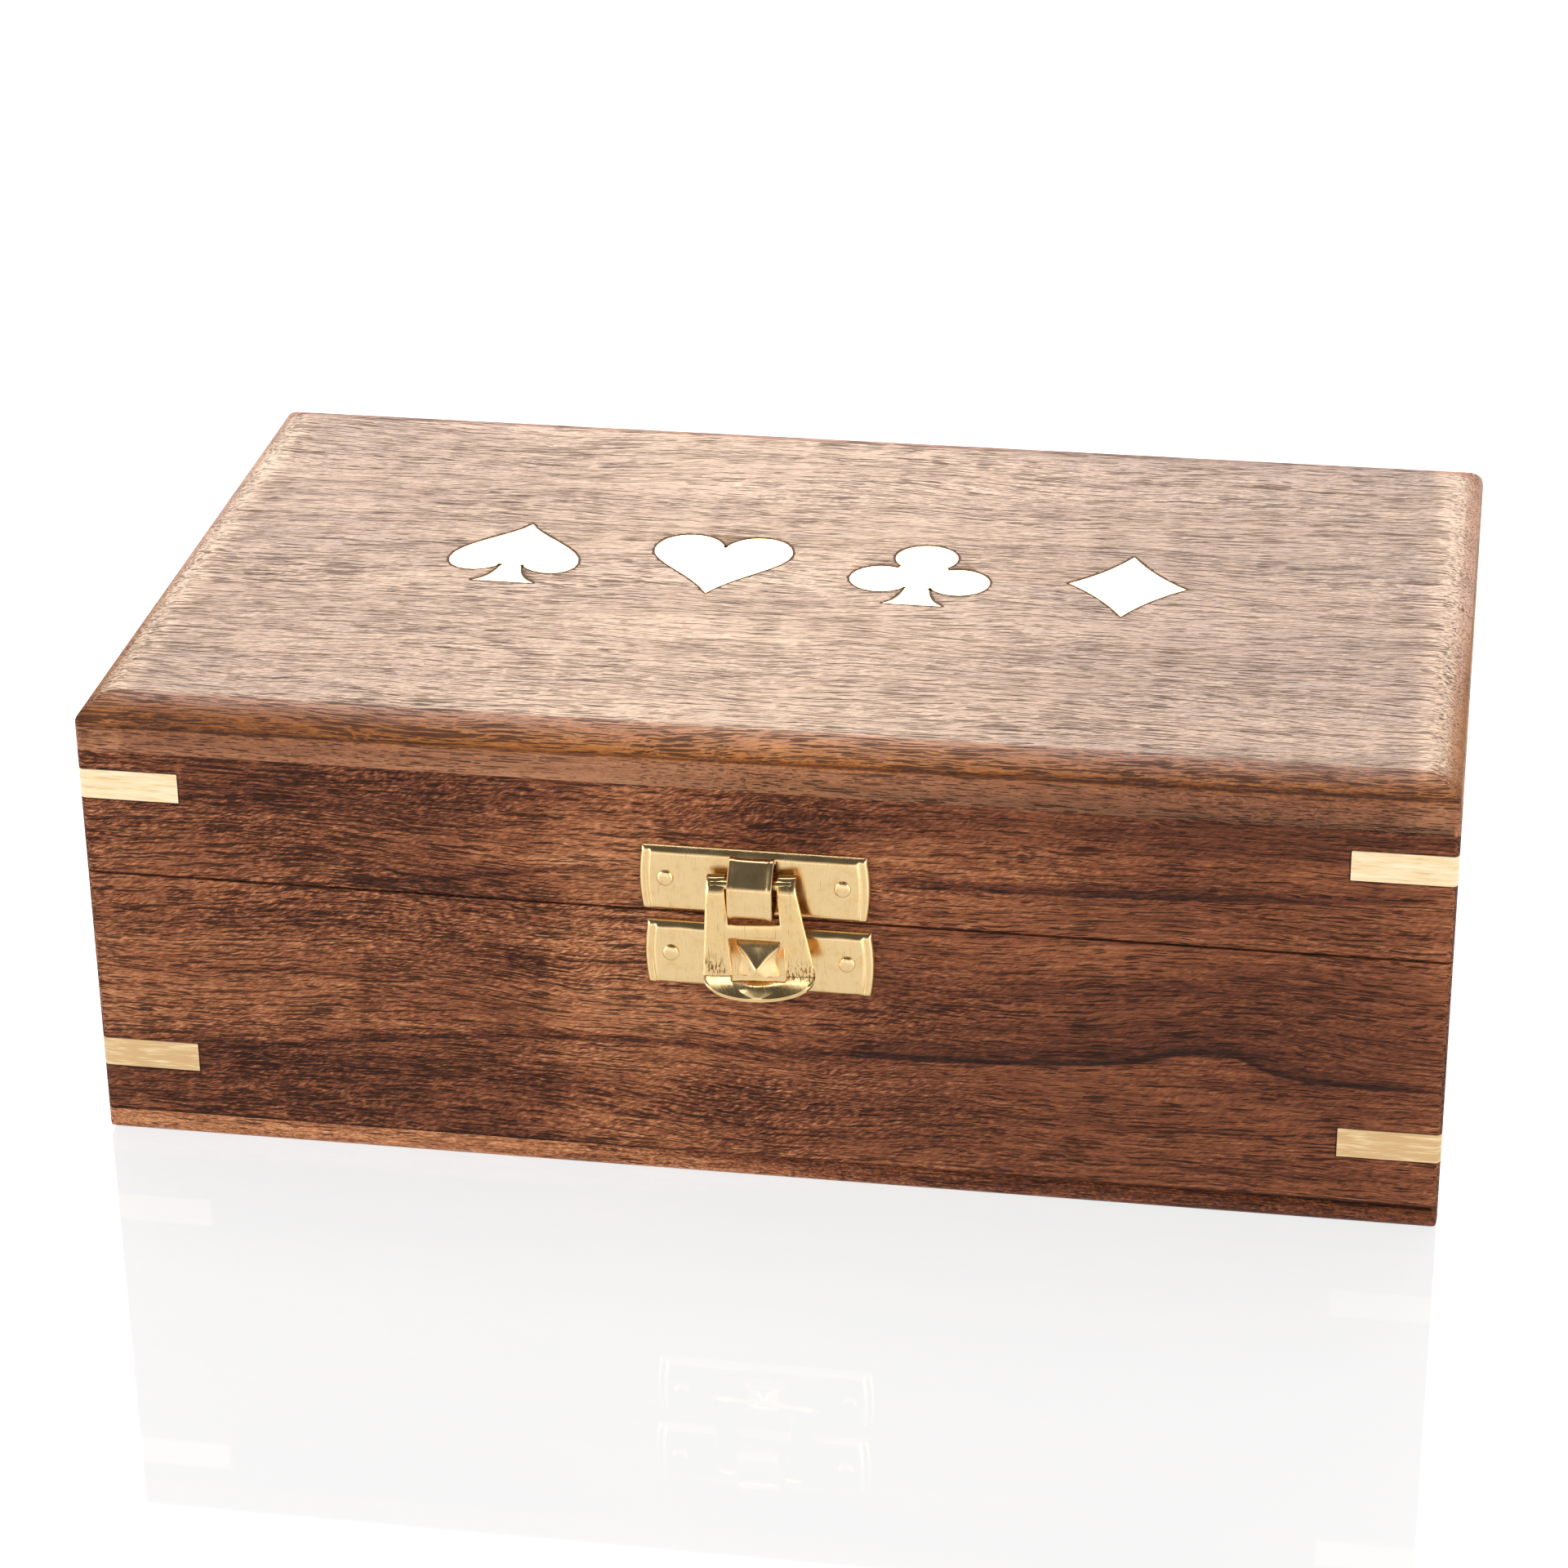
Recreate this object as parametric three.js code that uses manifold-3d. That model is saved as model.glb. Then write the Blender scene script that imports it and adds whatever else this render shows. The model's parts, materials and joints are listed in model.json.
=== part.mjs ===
// A hinged hardwood case for poker chips: mitred walls with light corner keys, sawn into a base and a lid,
// joined by two brass butt hinges at the back and a brass hasp at the front. Four brass card suits are let
// into the lid. Inside are two scooped chip racks, a card well and a dice well, all lined with felt.
// Millimetres. +X is to the right, +Y to the back, +Z up. The origin is the middle of the case's underside.
import * as THREE from "three";
import { mergeVertices } from "three/addons/utils/BufferGeometryUtils.js";
import Module from "manifold-3d";

const wasm = await Module();
wasm.setup();

// ---- Driving dimensions ----------------------------------------------------------------------------------
const WIDTH = 240;
const DEPTH = 143;
const HEIGHT = 86;
const SEAM = 53; // height of the saw cut between base and lid
const WALL = 10;
const TOP_PANEL = 9;
const BOTTOM_PANEL = 4.5;
const TOP_ROUND = { reach: 7.5, drop: 4.5 }; // the lid's rounded-over edges: in from the faces, and down
const BOTTOM_ROUND = { reach: 1.6, drop: 1.6 };
const CORNER_ROUND = 1.2; // radius of the eased upright corners

const GLUE = 0.1; // glue line round a key, and between the fittings and the boards they stand on
const KERF = 0.3; // gap of the saw cut
const SLIP = 0.15; // room round a piece let into a pocket or a hole

const KEY_LEG = 18; // how far a corner key shows along each face
const KEY_THICK = 5.6;
const KEY_HEIGHT = { base: 16.3, lid: 70.4 }; // the middles of the keys, above the underside

const HINGE_LENGTH = 36;
const HINGE_X = 66; // middle of each hinge, left and right
const HINGE_INSET = 3; // from the back face to the hinge pin's axis
const KNUCKLES = 5;
const KNUCKLE_RADIUS = 2.2;
const HINGE_PIN_RADIUS = 1;
const PIN_HEAD = { radius: 1.7, rise: 0.75 };
const LEAF_THICK = 1.2;
const LEAF_DEPTH = 6.6; // from the pin's axis to the leaf's far edge
const STOP_ANGLE = 50.5; // slope of each bevel behind the hinges, in degrees: they meet when the lid is open
const SCREW = { spacing: 23, fromPin: 4.3, length: 7.5, shank: 0.9, head: 1.65, hole: 1.15 };

const PLATE = { width: 39.4, height: 12.6, bulge: 0.6, rise: 1.3, bevel: 0.9, sheet: 0.6 };
const LATCH_PLATE = { x: 0.25, z: 59.7 };
const CATCH_PLATE = { x: 0.95, z: 45.1 };
const NAIL = { spacing: 31, lift: 0.4, shank: 0.6, head: 1.5, length: 6.5, hole: 0.75 };
const LOOP_HALF_WIDTH = 3.9;
const STUD_HALF_WIDTH = 4;
const HASP = {
  out: 3.4, // its bar, out from the front face
  z: 60.9,
  lean: 3.5, // degrees off plumb, in its loose loop
  halfTop: 7.8,
  halfBottom: 9.9,
  skew: 0.5, // how far the lip sits to the right of the bar's middle
  bend: -16.8, // where the lip starts, below the bar
  lip: 3.3, // how far the lip reaches down
  slot: { half: 4.6, end: -6.9 },
  window: { half: 4.8, top: -9.4, low: -17.6 },
  earRadius: 1.5,
  barRadius: 1.1,
};

const INLAY = { height: 27, spacing: 38, y: 3.3, thick: 1.5, gap: 0.3 };

const FELT = 1;
const CHIP_RADIUS = 19.5;
const TROUGH_SPACING = 43;
const TROUGH_FLOOR = 3; // wood left under a trough
const CARD_WELL = { width: 38, length: 92 };
const DIVIDER = { thick: 3, top: 44 };
const DICE_DIVIDER_TOP = 30;

const TINY = 0.05;
const PAST = 1; // how far a cutting tool reaches past the piece it cuts
const SIDES = [-1, 1];

// ---- Values that follow from them ------------------------------------------------------------------------
const halfW = WIDTH / 2;
const halfD = DEPTH / 2;
const innerX = halfW - WALL;
const innerY = halfD - WALL;
const lidUnderside = HEIGHT - TOP_PANEL;
const floorZ = BOTTOM_PANEL + GLUE;
const seamLow = SEAM - KERF / 2;
const seamHigh = SEAM + KERF / 2;
const hingeY = halfD - HINGE_INSET;

// ---- Materials -------------------------------------------------------------------------------------------
const paint = (colour, roughness, metalness) =>
  new THREE.MeshStandardMaterial({ color: colour, roughness, metalness });
const WOOD = paint(0x7a4a30, 0.45, 0);
const RACK_WOOD = paint(0x8a5a3a, 0.5, 0);
const KEY_WOOD = paint(0xe4c48e, 0.5, 0);
const BRASS = paint(0xd9b36a, 0.2, 1);
const FELT_GREEN = paint(0x1f5a3a, 0.95, 0);

// ---- Solids ----------------------------------------------------------------------------------------------
// A closed three.js geometry as a solid that can be cut and joined.
function solid(geometry) {
  const bare = geometry.index ? geometry.toNonIndexed() : geometry.clone();
  bare.deleteAttribute("normal");
  bare.deleteAttribute("uv");
  const merged = mergeVertices(bare, 1e-4);
  const mesh = new wasm.Mesh({
    numProp: 3,
    vertProperties: merged.attributes.position.array,
    triVerts: new Uint32Array(merged.index.array),
  });
  return new wasm.Manifold(mesh);
}

// A solid as a three.js geometry.
function geometryOf(body) {
  const mesh = body.getMesh();
  const geometry = new THREE.BufferGeometry();
  geometry.setAttribute("position", new THREE.BufferAttribute(mesh.vertProperties, 3));
  geometry.setIndex(new THREE.BufferAttribute(mesh.triVerts, 1));
  geometry.computeVertexNormals();
  return geometry;
}

// A box from its lowest to its highest corner.
function box(low, high) {
  const size = high.map((value, i) => value - low[i]);
  const middle = high.map((value, i) => (value + low[i]) / 2);
  return solid(new THREE.BoxGeometry(...size).translate(...middle));
}

// An outline pushed along one axis. Its points are (x, y) for "z", (y, z) for "x" and (x, z) for "y".
function prism(points, axis, from, to) {
  const shape = new THREE.Shape(points.map(([u, v]) => new THREE.Vector2(u, v)));
  const geometry = new THREE.ExtrudeGeometry(shape, { depth: to - from, bevelEnabled: false });
  const turn = new THREE.Matrix4();
  if (axis === "x") turn.set(0, 0, 1, from, 1, 0, 0, 0, 0, 1, 0, 0, 0, 0, 0, 1);
  if (axis === "y") turn.set(1, 0, 0, 0, 0, 0, -1, to, 0, 1, 0, 0, 0, 0, 0, 1);
  if (axis === "z") turn.makeTranslation(0, 0, from);
  return solid(geometry.applyMatrix4(turn));
}

// A cylinder along X.
function rod(radius, from, to, y, z, sides = 20) {
  const geometry = new THREE.CylinderGeometry(radius, radius, to - from, sides);
  return solid(geometry.rotateZ(Math.PI / 2).translate((from + to) / 2, y, z));
}

// A turned piece about Z: its profile is a list of [radius, z] from the bottom of the axis to the top.
function turned(profile, sides) {
  const points = profile.map(([r, z]) => new THREE.Vector2(r, z));
  return solid(new THREE.LatheGeometry(points, sides).rotateX(Math.PI / 2));
}

// A solid through rings of the same number of points, closed at both ends, each ring anticlockwise seen from
// the side that the last ring faces.
function loft(rings) {
  const count = rings[0].length;
  const position = rings.flat(2);
  const index = [];
  for (let r = 0; r + 1 < rings.length; r++) {
    for (let i = 0; i < count; i++) {
      const j = (i + 1) % count;
      const [a, b] = [r * count + i, r * count + j];
      index.push(a, b, b + count, a, b + count, a + count);
    }
  }
  const last = (rings.length - 1) * count;
  for (let i = 1; i + 1 < count; i++) {
    index.push(0, i + 1, i);
    index.push(last, last + i, last + i + 1);
  }
  const geometry = new THREE.BufferGeometry();
  geometry.setAttribute("position", new THREE.Float32BufferAttribute(position, 3));
  geometry.setIndex(index);
  return solid(geometry);
}

const union = (...bodies) => bodies.reduce((whole, body) => whole.add(body));
const cut = (body, ...tools) => tools.reduce((rest, tool) => rest.subtract(tool), body);

const group = new THREE.Group();
function add(name, body, material) {
  const mesh = new THREE.Mesh(geometryOf(body), material);
  mesh.name = name;
  group.add(mesh);
}

// The case's outer block between two heights, with its upright corners eased.
function easedBlock(low, high) {
  const steps = 4;
  const centres = corners.map(({ sx, sy }) => [sx * (halfW - CORNER_ROUND), sy * (halfD - CORNER_ROUND)]);
  const [frontLeft, frontRight, backLeft, backRight] = centres;
  const points = [backRight, backLeft, frontLeft, frontRight].flatMap(([x, y], quarter) =>
    [...Array(steps + 1).keys()].map((i) => {
      const turn = (quarter + i / steps) * (Math.PI / 2);
      return [x + CORNER_ROUND * Math.cos(turn), y + CORNER_ROUND * Math.sin(turn)];
    }),
  );
  return prism(points, "z", low, high);
}

// ---- Corner keys and the slots they sit in ---------------------------------------------------------------
const corners = [];
for (const sy of SIDES) {
  for (const sx of SIDES) {
    corners.push({ name: `${sy < 0 ? "front" : "back"}_${sx < 0 ? "left" : "right"}`, sx, sy });
  }
}

// The right-angled triangle of a key, seen from above.
function keyOutline({ sx, sy }, leg, beyond) {
  const [x, y] = [sx * (halfW + beyond), sy * (halfD + beyond)];
  const reach = leg + 2 * beyond;
  return [[x, y], [x - sx * reach, y], [x, y - sy * reach]];
}

function key(corner, z) {
  const [low, high] = [z - KEY_THICK / 2, z + KEY_THICK / 2];
  return prism(keyOutline(corner, KEY_LEG, 0), "z", low, high).intersect(easedBlock(low, high));
}

function keySlots(z) {
  const half = KEY_THICK / 2 + GLUE;
  const slot = (corner) => prism(keyOutline(corner, KEY_LEG + GLUE, PAST), "z", z - half, z + half);
  return union(...corners.map(slot));
}

// ---- Walls -----------------------------------------------------------------------------------------------
// The four mitred boards seen from above.
const longBoard = (s) => [
  [-halfW, s * halfD],
  [halfW, s * halfD],
  [innerX, s * innerY],
  [-innerX, s * innerY],
];
const shortBoard = (s) => [
  [s * halfW, -halfD],
  [s * halfW, halfD],
  [s * innerX, innerY],
  [s * innerX, -innerY],
];
const boards = {
  front_wall: longBoard(-1),
  back_wall: longBoard(1),
  left_wall: shortBoard(-1),
  right_wall: shortBoard(1),
};

// The V-shaped groove behind the hinges, whose two bevels stop the lid.
function stopGroove() {
  const half = (HINGE_INSET + PAST) * Math.tan(THREE.MathUtils.degToRad(STOP_ANGLE));
  const outline = [[hingeY, SEAM], [halfD + PAST, SEAM - half], [halfD + PAST, SEAM + half]];
  return prism(outline, "x", -halfW - PAST, halfW + PAST);
}

// Room for one hinge: its barrel with the pin's heads, both leaves and their screws.
function hingeMortise(x) {
  const end = HINGE_LENGTH / 2;
  const headRoom = PIN_HEAD.rise + 0.25;
  const leafRoom = KERF / 2 + LEAF_THICK + SLIP;
  const barrel = rod(KNUCKLE_RADIUS + KERF, x - end - headRoom, x + end + headRoom, hingeY, SEAM);
  const leaves = box(
    [x - end - SLIP, hingeY - LEAF_DEPTH - SLIP, SEAM - leafRoom],
    [x + end + SLIP, hingeY, SEAM + leafRoom],
  );
  return union(barrel, leaves, ...SIDES.flatMap((s) => screwPlaces(x).map((place) => screwHole(place, s))));
}

const screwPlaces = (x) => SIDES.map((s) => ({ x: x + (s * SCREW.spacing) / 2, y: hingeY - SCREW.fromPin }));

// A pilot hole in the wood, up into the lid (s = 1) or down into the base (s = -1).
function screwHole({ x, y }, s) {
  const depth = SCREW.length + 1;
  const geometry = new THREE.CylinderGeometry(SCREW.hole, SCREW.hole, depth, 10);
  geometry.rotateX(Math.PI / 2);
  return solid(geometry.translate(x, y, SEAM + (s * depth) / 2));
}

const grooveAndHinges = union(stopGroove(), ...SIDES.map((s) => hingeMortise(s * HINGE_X)));

// Two round holes along Y for the nails of a latch plate, between two distances in from the front face.
function nailHoles({ x, z }, radius, from, to, sides) {
  const hole = (s) => {
    const geometry = new THREE.CylinderGeometry(radius, radius, to - from, sides);
    return solid(geometry.translate(x + (s * NAIL.spacing) / 2, -halfD + (from + to) / 2, z + NAIL.lift));
  };
  return union(...SIDES.map(hole));
}

for (const [part, low, high, plate] of [
  ["base", BOTTOM_PANEL, seamLow, CATCH_PLATE],
  ["lid", seamHigh, lidUnderside, LATCH_PLATE],
]) {
  const slots = keySlots(KEY_HEIGHT[part]);
  for (const [name, outline] of Object.entries(boards)) {
    let board = cut(prism(outline, "z", low, high).intersect(easedBlock(low, high)), slots);
    const atFront = name === "front_wall";
    board = cut(board, atFront ? nailHoles(plate, NAIL.hole, -TINY, NAIL.length + 1.5, 8) : grooveAndHinges);
    add(`${part}_${name}`, board, WOOD);
  }
  for (const corner of corners) {
    add(`${part}_key_${corner.name}`, key(corner, KEY_HEIGHT[part]), KEY_WOOD);
  }
}

// ---- Panels ----------------------------------------------------------------------------------------------
// The section of a panel across a half width, with its upper (s = 1) or lower (s = -1) corners rounded over.
function roundedSection(half, low, high, { reach, drop }, steps, s) {
  const [sharp, round] = s > 0 ? [low, high] : [high, low];
  const points = [[-half, sharp], [half, sharp]];
  for (const side of [1, -1]) {
    for (let i = 0; i <= steps; i++) {
      const turn = ((side > 0 ? i : steps - i) / steps) * (Math.PI / 2);
      points.push([
        side * (half - reach + reach * Math.cos(turn)),
        round - s * (drop - drop * Math.sin(turn)),
      ]);
    }
  }
  return points;
}

function panel(low, high, rounding, steps, s) {
  const across = prism(roundedSection(halfW, low, high, rounding, steps, s), "y", -halfD, halfD);
  const along = prism(roundedSection(halfD, low, high, rounding, steps, s), "x", -halfW, halfW);
  return across.intersect(along).intersect(easedBlock(low, high));
}

// ---- Card suits ------------------------------------------------------------------------------------------
// Half outlines, one unit high, from the top of the axis down the right side to the bottom of the axis.
const suitPaths = {
  spade: (p) => {
    p.moveTo(0, 0.5);
    p.bezierCurveTo(0.08, 0.3, 0.45, 0.12, 0.45, -0.13);
    p.bezierCurveTo(0.45, -0.36, 0.17, -0.38, 0.07, -0.2);
    p.bezierCurveTo(0.08, -0.34, 0.12, -0.44, 0.22, -0.5);
    p.lineTo(0, -0.5);
  },
  heart: (p) => {
    p.moveTo(0, 0.27);
    p.bezierCurveTo(0.04, 0.4, 0.13, 0.47, 0.24, 0.47);
    p.bezierCurveTo(0.4, 0.47, 0.48, 0.34, 0.48, 0.2);
    p.bezierCurveTo(0.48, -0.02, 0.14, -0.2, 0, -0.5);
  },
  club: (p) => {
    p.absarc(0, 0.285, 0.215, Math.PI / 2, -0.75, true);
    p.absarc(0.265, -0.095, 0.215, 2.0, -2.6, true);
    p.bezierCurveTo(0.09, -0.34, 0.12, -0.44, 0.21, -0.5);
    p.lineTo(0, -0.5);
  },
  diamond: (p) => {
    p.moveTo(0, 0.5);
    p.bezierCurveTo(0.1, 0.3, 0.25, 0.12, 0.4, 0);
    p.bezierCurveTo(0.25, -0.12, 0.1, -0.3, 0, -0.5);
  },
};

// The whole outline of a suit in millimetres: the half and its mirror image, clockwise from the top.
function suitOutline(suit) {
  const path = new THREE.Path();
  suitPaths[suit](path);
  const right = path.getPoints(8).map((p) => [p.x * INLAY.height, p.y * INLAY.height]);
  const gap = (i) => Math.hypot(right[i][0] - right[i - 1][0], right[i][1] - right[i - 1][1]);
  const tidy = right.filter((point, i) => i === 0 || gap(i) > 0.2);
  const left = tidy.filter(([x]) => x > TINY).map(([x, y]) => [-x, y]);
  return [...tidy, ...left.reverse()];
}

// A clockwise outline moved outwards by a small distance.
function offsetOutline(points, distance) {
  return points.map(([x, y], i) => {
    const [px, py] = points[(i + points.length - 1) % points.length];
    const [nx, ny] = points[(i + 1) % points.length];
    const before = new THREE.Vector2(-(y - py), x - px).normalize();
    const after = new THREE.Vector2(-(ny - y), nx - x).normalize();
    const normal = before.add(after).normalize();
    return [x + normal.x * distance, y + normal.y * distance];
  });
}

let topPanel = panel(lidUnderside, HEIGHT, TOP_ROUND, 8, 1);
Object.keys(suitPaths).forEach((suit, i) => {
  const x = (i - 1.5) * INLAY.spacing;
  const outline = suitOutline(suit).map(([u, v]) => [u + x, v + INLAY.y]);
  const pocket = prism(offsetOutline(outline, INLAY.gap), "z", HEIGHT - INLAY.thick - SLIP, HEIGHT + 1);
  topPanel = cut(topPanel, pocket);
  add(`inlay_${suit}`, prism(outline, "z", HEIGHT - INLAY.thick, HEIGHT - TINY), BRASS);
});
add("lid_top_panel", topPanel, WOOD);
add("base_bottom_panel", panel(0, BOTTOM_PANEL, BOTTOM_ROUND, 3, -1), WOOD);

// ---- Hinges ----------------------------------------------------------------------------------------------
const knuckleStep = HINGE_LENGTH / KNUCKLES;

// The knuckles of one leaf: the base (s = -1) has the odd ones, with both ends, and the lid (s = 1) the rest.
function knuckleSpans(x, s) {
  const first = x - HINGE_LENGTH / 2;
  const starts = [...Array(KNUCKLES).keys()].map((i) => first + i * knuckleStep);
  const spans = starts.map((start) => [start, start + knuckleStep]);
  return spans.filter((span, i) => i % 2 === (s > 0 ? 1 : 0));
}

function hingeLeaf(x, s) {
  const end = HINGE_LENGTH / 2;
  const faces = [SEAM + (s * KERF) / 2, SEAM + s * (KERF / 2 + LEAF_THICK)].sort((a, b) => a - b);
  const plate = box([x - end, hingeY - LEAF_DEPTH, faces[0]], [x + end, hingeY, faces[1]]);
  const notches = knuckleSpans(x, -s).map(([a, b]) =>
    rod(KNUCKLE_RADIUS + SLIP, a - TINY, b + TINY, hingeY, SEAM),
  );
  const barrels = knuckleSpans(x, s).map(([a, b]) =>
    rod(KNUCKLE_RADIUS, a === x - end ? a : a + TINY, b === x + end ? b : b - TINY, hingeY, SEAM),
  );
  const pinPlay = 0.08;
  const bore = rod(HINGE_PIN_RADIUS + pinPlay, x - end - PAST, x + end + PAST, hingeY, SEAM);
  const [hole, rim] = [SCREW.shank + SLIP, SCREW.head + SLIP];
  const sinks = screwPlaces(x).map((place) => {
    const sink = turned([[0, -4], [hole, -4], [hole, -0.85], [rim, 0], [rim, PAST], [0, PAST]], 16);
    return settle(sink, place, s);
  });
  return cut(union(cut(plate, ...notches), ...barrels), bore, ...sinks);
}

// Puts something made with its head at z = 0 and its shank down into a leaf of the base (s = -1) or the
// lid (s = 1).
function settle(body, { x, y }, s) {
  const turnedOver = s > 0 ? body.rotate([180, 0, 0]) : body;
  return turnedOver.translate([x, y, SEAM + (s * KERF) / 2]);
}

// A countersunk brass wood screw with a slot turned to some angle.
function hingeScrew(angle) {
  const { shank, head, length } = SCREW;
  const top = -TINY;
  const whole = turned(
    [[0, -length], [0.35, -length + 0.2], [shank, -length + 2], [shank, -0.9], [head, top], [0, top]],
    16,
  );
  const slot = box([-head - PAST, -0.25, -0.45], [head + PAST, 0.25, 0.5]).rotate([0, 0, angle]);
  return cut(whole, slot);
}

for (const [side, sx] of [["left", -1], ["right", 1]]) {
  const x = sx * HINGE_X;
  const half = HINGE_LENGTH / 2;
  for (const [part, s] of [["base", -1], ["lid", 1]]) {
    add(`hinge_${side}_${part}_leaf`, hingeLeaf(x, s), BRASS);
    screwPlaces(x).forEach((place, i) => {
      const angle = 25 + 55 * i + 20 * sx + 35 * s;
      add(`hinge_${side}_${part}_screw_${i + 1}`, settle(hingeScrew(angle), place, s), BRASS);
    });
  }
  const { radius, rise } = PIN_HEAD;
  const lowEnd = [[0, -half - rise], [1.1, -half - 0.7], [radius, -half - 0.35], [radius, -half - TINY],
    [HINGE_PIN_RADIUS, -half - TINY]];
  const highEnd = lowEnd.map(([r, z]) => [r, -z]).reverse();
  const pin = turned([...lowEnd, ...highEnd], 16);
  add(`hinge_${side}_pin`, pin.rotate([0, 90, 0]).translate([x, hingeY, SEAM]), BRASS);
}

// ---- Latch -----------------------------------------------------------------------------------------------
const frontY = -halfD;

// The outline of a plate with bowed ends, drawn in by some inset, anticlockwise seen from the front.
function plateOutline(inset) {
  const { width, height, bulge } = PLATE;
  const [halfWidth, halfHeight] = [width / 2 - inset, height / 2 - inset];
  const steps = 6;
  const points = [];
  for (const side of [1, -1]) {
    for (let i = 0; i <= steps; i++) {
      const v = side * (-1 + (2 * i) / steps);
      points.push([side * (halfWidth + bulge * (1 - v * v)), v * halfHeight]);
    }
  }
  return points;
}

// A ring of the plate's outline, out from the front face by some distance.
const plateRing = ({ x, z }, inset, out) => plateOutline(inset).map(([u, v]) => [x + u, frontY - out, z + v]);

// A pressed sheet-brass plate: a shallow pan, open at the back, with two nail holes.
function pressedPlate(place) {
  const { rise, bevel, sheet } = PLATE;
  const outside = loft([plateRing(place, 0, GLUE), plateRing(place, bevel, rise)]);
  const inside = loft([plateRing(place, sheet, -GLUE), plateRing(place, bevel + sheet, rise - sheet)]);
  return cut(outside, inside, nailHoles(place, NAIL.shank + 0.2, -3, 1, 12));
}

// A round-headed nail through a plate into the wood.
function nail({ x, z }, s) {
  const { length, shank, head } = NAIL;
  const shape = turned(
    [[0, -length], [0.3, -length + 0.3], [shank, -length + 1.5], [shank, TINY], [head, TINY],
      [head - 0.05, 0.28], [1.1, 0.45], [0, 0.5]],
    16,
  );
  const place = [x + (s * NAIL.spacing) / 2, frontY - PLATE.rise, z + NAIL.lift];
  return shape.rotate([90, 0, 0]).translate(place);
}

// A section given as [out from the front face, height above some z], pushed along X.
const latchSection = (points, z, x, half) =>
  prism(points.map(([out, up]) => [frontY - out, z + up]), "x", x - half, x + half);

// The loop on the lid's plate: a tongue bent out of the plate and back round the hasp's bar.
function latchLoop() {
  const outer = [
    [0.7, 5], [1.6, 5.8], [2.9, 6.1], [4.6, 5.5], [5.7, 3.9], [6.6, 1.5], [6.5, -1], [6, -3.2],
    [5.2, -4.5], [4, -5.1], [2.4, -5.2], [0.7, -4.7],
  ];
  const inner = [
    [-1, 4.1], [1.2, 4.3], [2.9, 5.2], [4.1, 4.7], [5, 3.5], [5.75, 1.4], [5.65, -0.9], [5.2, -2.8],
    [4.6, -3.8], [3.8, -4.3], [1.2, -4.3], [-1, -4],
  ];
  const { x, z } = LATCH_PLATE;
  return {
    band: latchSection(outer, z, x, LOOP_HALF_WIDTH),
    hollow: latchSection(inner, z, x, LOOP_HALF_WIDTH + PAST),
    slot: latchSection([[-1, 4.1], [2, 4.1], [2, -4], [-1, -4]], z, x, LOOP_HALF_WIDTH),
  };
}

const loop = latchLoop();
const bandOnly = cut(loop.band, loop.hollow);
add("latch_plate", union(cut(pressedPlate(LATCH_PLATE), loop.slot), bandOnly), BRASS);

// The stud on the base's plate, which fills the hasp's window. It ends just behind the hasp's lower bar.
const studSection = [
  [0.8, 4.1], [1.9, 3.9], [3.1, 3], [3.9, 1.4], [4.35, -0.3], [4.25, -1.2], [3.4, -2.6], [0.8, -2.8],
];
const stud = latchSection(studSection, CATCH_PLATE.z, CATCH_PLATE.x, STUD_HALF_WIDTH);
add("catch_plate", union(pressedPlate(CATCH_PLATE), stud), BRASS);

for (const [name, place] of [["latch", LATCH_PLATE], ["catch", CATCH_PLATE]]) {
  add(`${name}_nail_left`, nail(place, -1), BRASS);
  add(`${name}_nail_right`, nail(place, 1), BRASS);
}

// The outline of the hasp seen from the front, about its bar: legs that spread downwards and a round lip.
function haspOutline() {
  const { halfTop, halfBottom, skew, bend, lip } = HASP;
  const steps = 12;
  const points = [[-halfTop, 1]];
  for (let i = 0; i <= steps; i++) {
    const turn = (i / steps) * Math.PI;
    points.push([skew - halfBottom * Math.cos(turn), bend - lip * Math.sin(turn)]);
  }
  return [...points, [halfTop, 1]];
}

// The hasp about its bar: two legs with ears, a crossbar, a window for the stud and a lip for the fingertip.
function hasp() {
  const { bend, slot, window, earRadius, barRadius } = HASP;
  const section = [
    [1.6, 0.3], [1.7, -2.6], [2.3, bend], [6, bend - 2.6], [5.5, bend - 3.4], [1.3, bend - 0.8],
    [0.6, -2.6], [0, -0.6], [0, 0.3],
  ];
  const [back, front] = [-8, 3];
  const slab = prism(section.map(([out, up]) => [-out, up]), "x", -12, 12);
  const sheet = slab.intersect(prism(haspOutline(), "y", back, front));
  const slotRoom = box([-slot.half, back, slot.end], [slot.half, front, 3]);
  const windowRoom = box([-window.half, back, window.low], [window.half, front, window.top]);
  const ears = SIDES.map((s) => {
    const [inner, outer] = [s * slot.half, s * (HASP.halfTop + 0.1)];
    return rod(earRadius, Math.min(inner, outer), Math.max(inner, outer), 0, 0, 16);
  });
  const bar = rod(barRadius, -slot.half - 0.4, slot.half + 0.4, 0, 0, 16);
  return union(cut(sheet, slotRoom, windowRoom), ...ears, bar);
}

add("hasp", hasp().rotate([0, -HASP.lean, 0]).translate([LATCH_PLATE.x, frontY - HASP.out, HASP.z]), BRASS);

// ---- Inside ----------------------------------------------------------------------------------------------
const troughRadius = CHIP_RADIUS + FELT + GLUE;
const troughZ = floorZ + TROUGH_FLOOR + troughRadius;
const dividerOuter = CARD_WELL.width / 2 + DIVIDER.thick;
const rackEdges = [dividerOuter + GLUE, innerX - GLUE];
const rackMiddle = (rackEdges[0] + rackEdges[1]) / 2;
const fitY = innerY - GLUE;
const troughSteps = 16;

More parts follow.
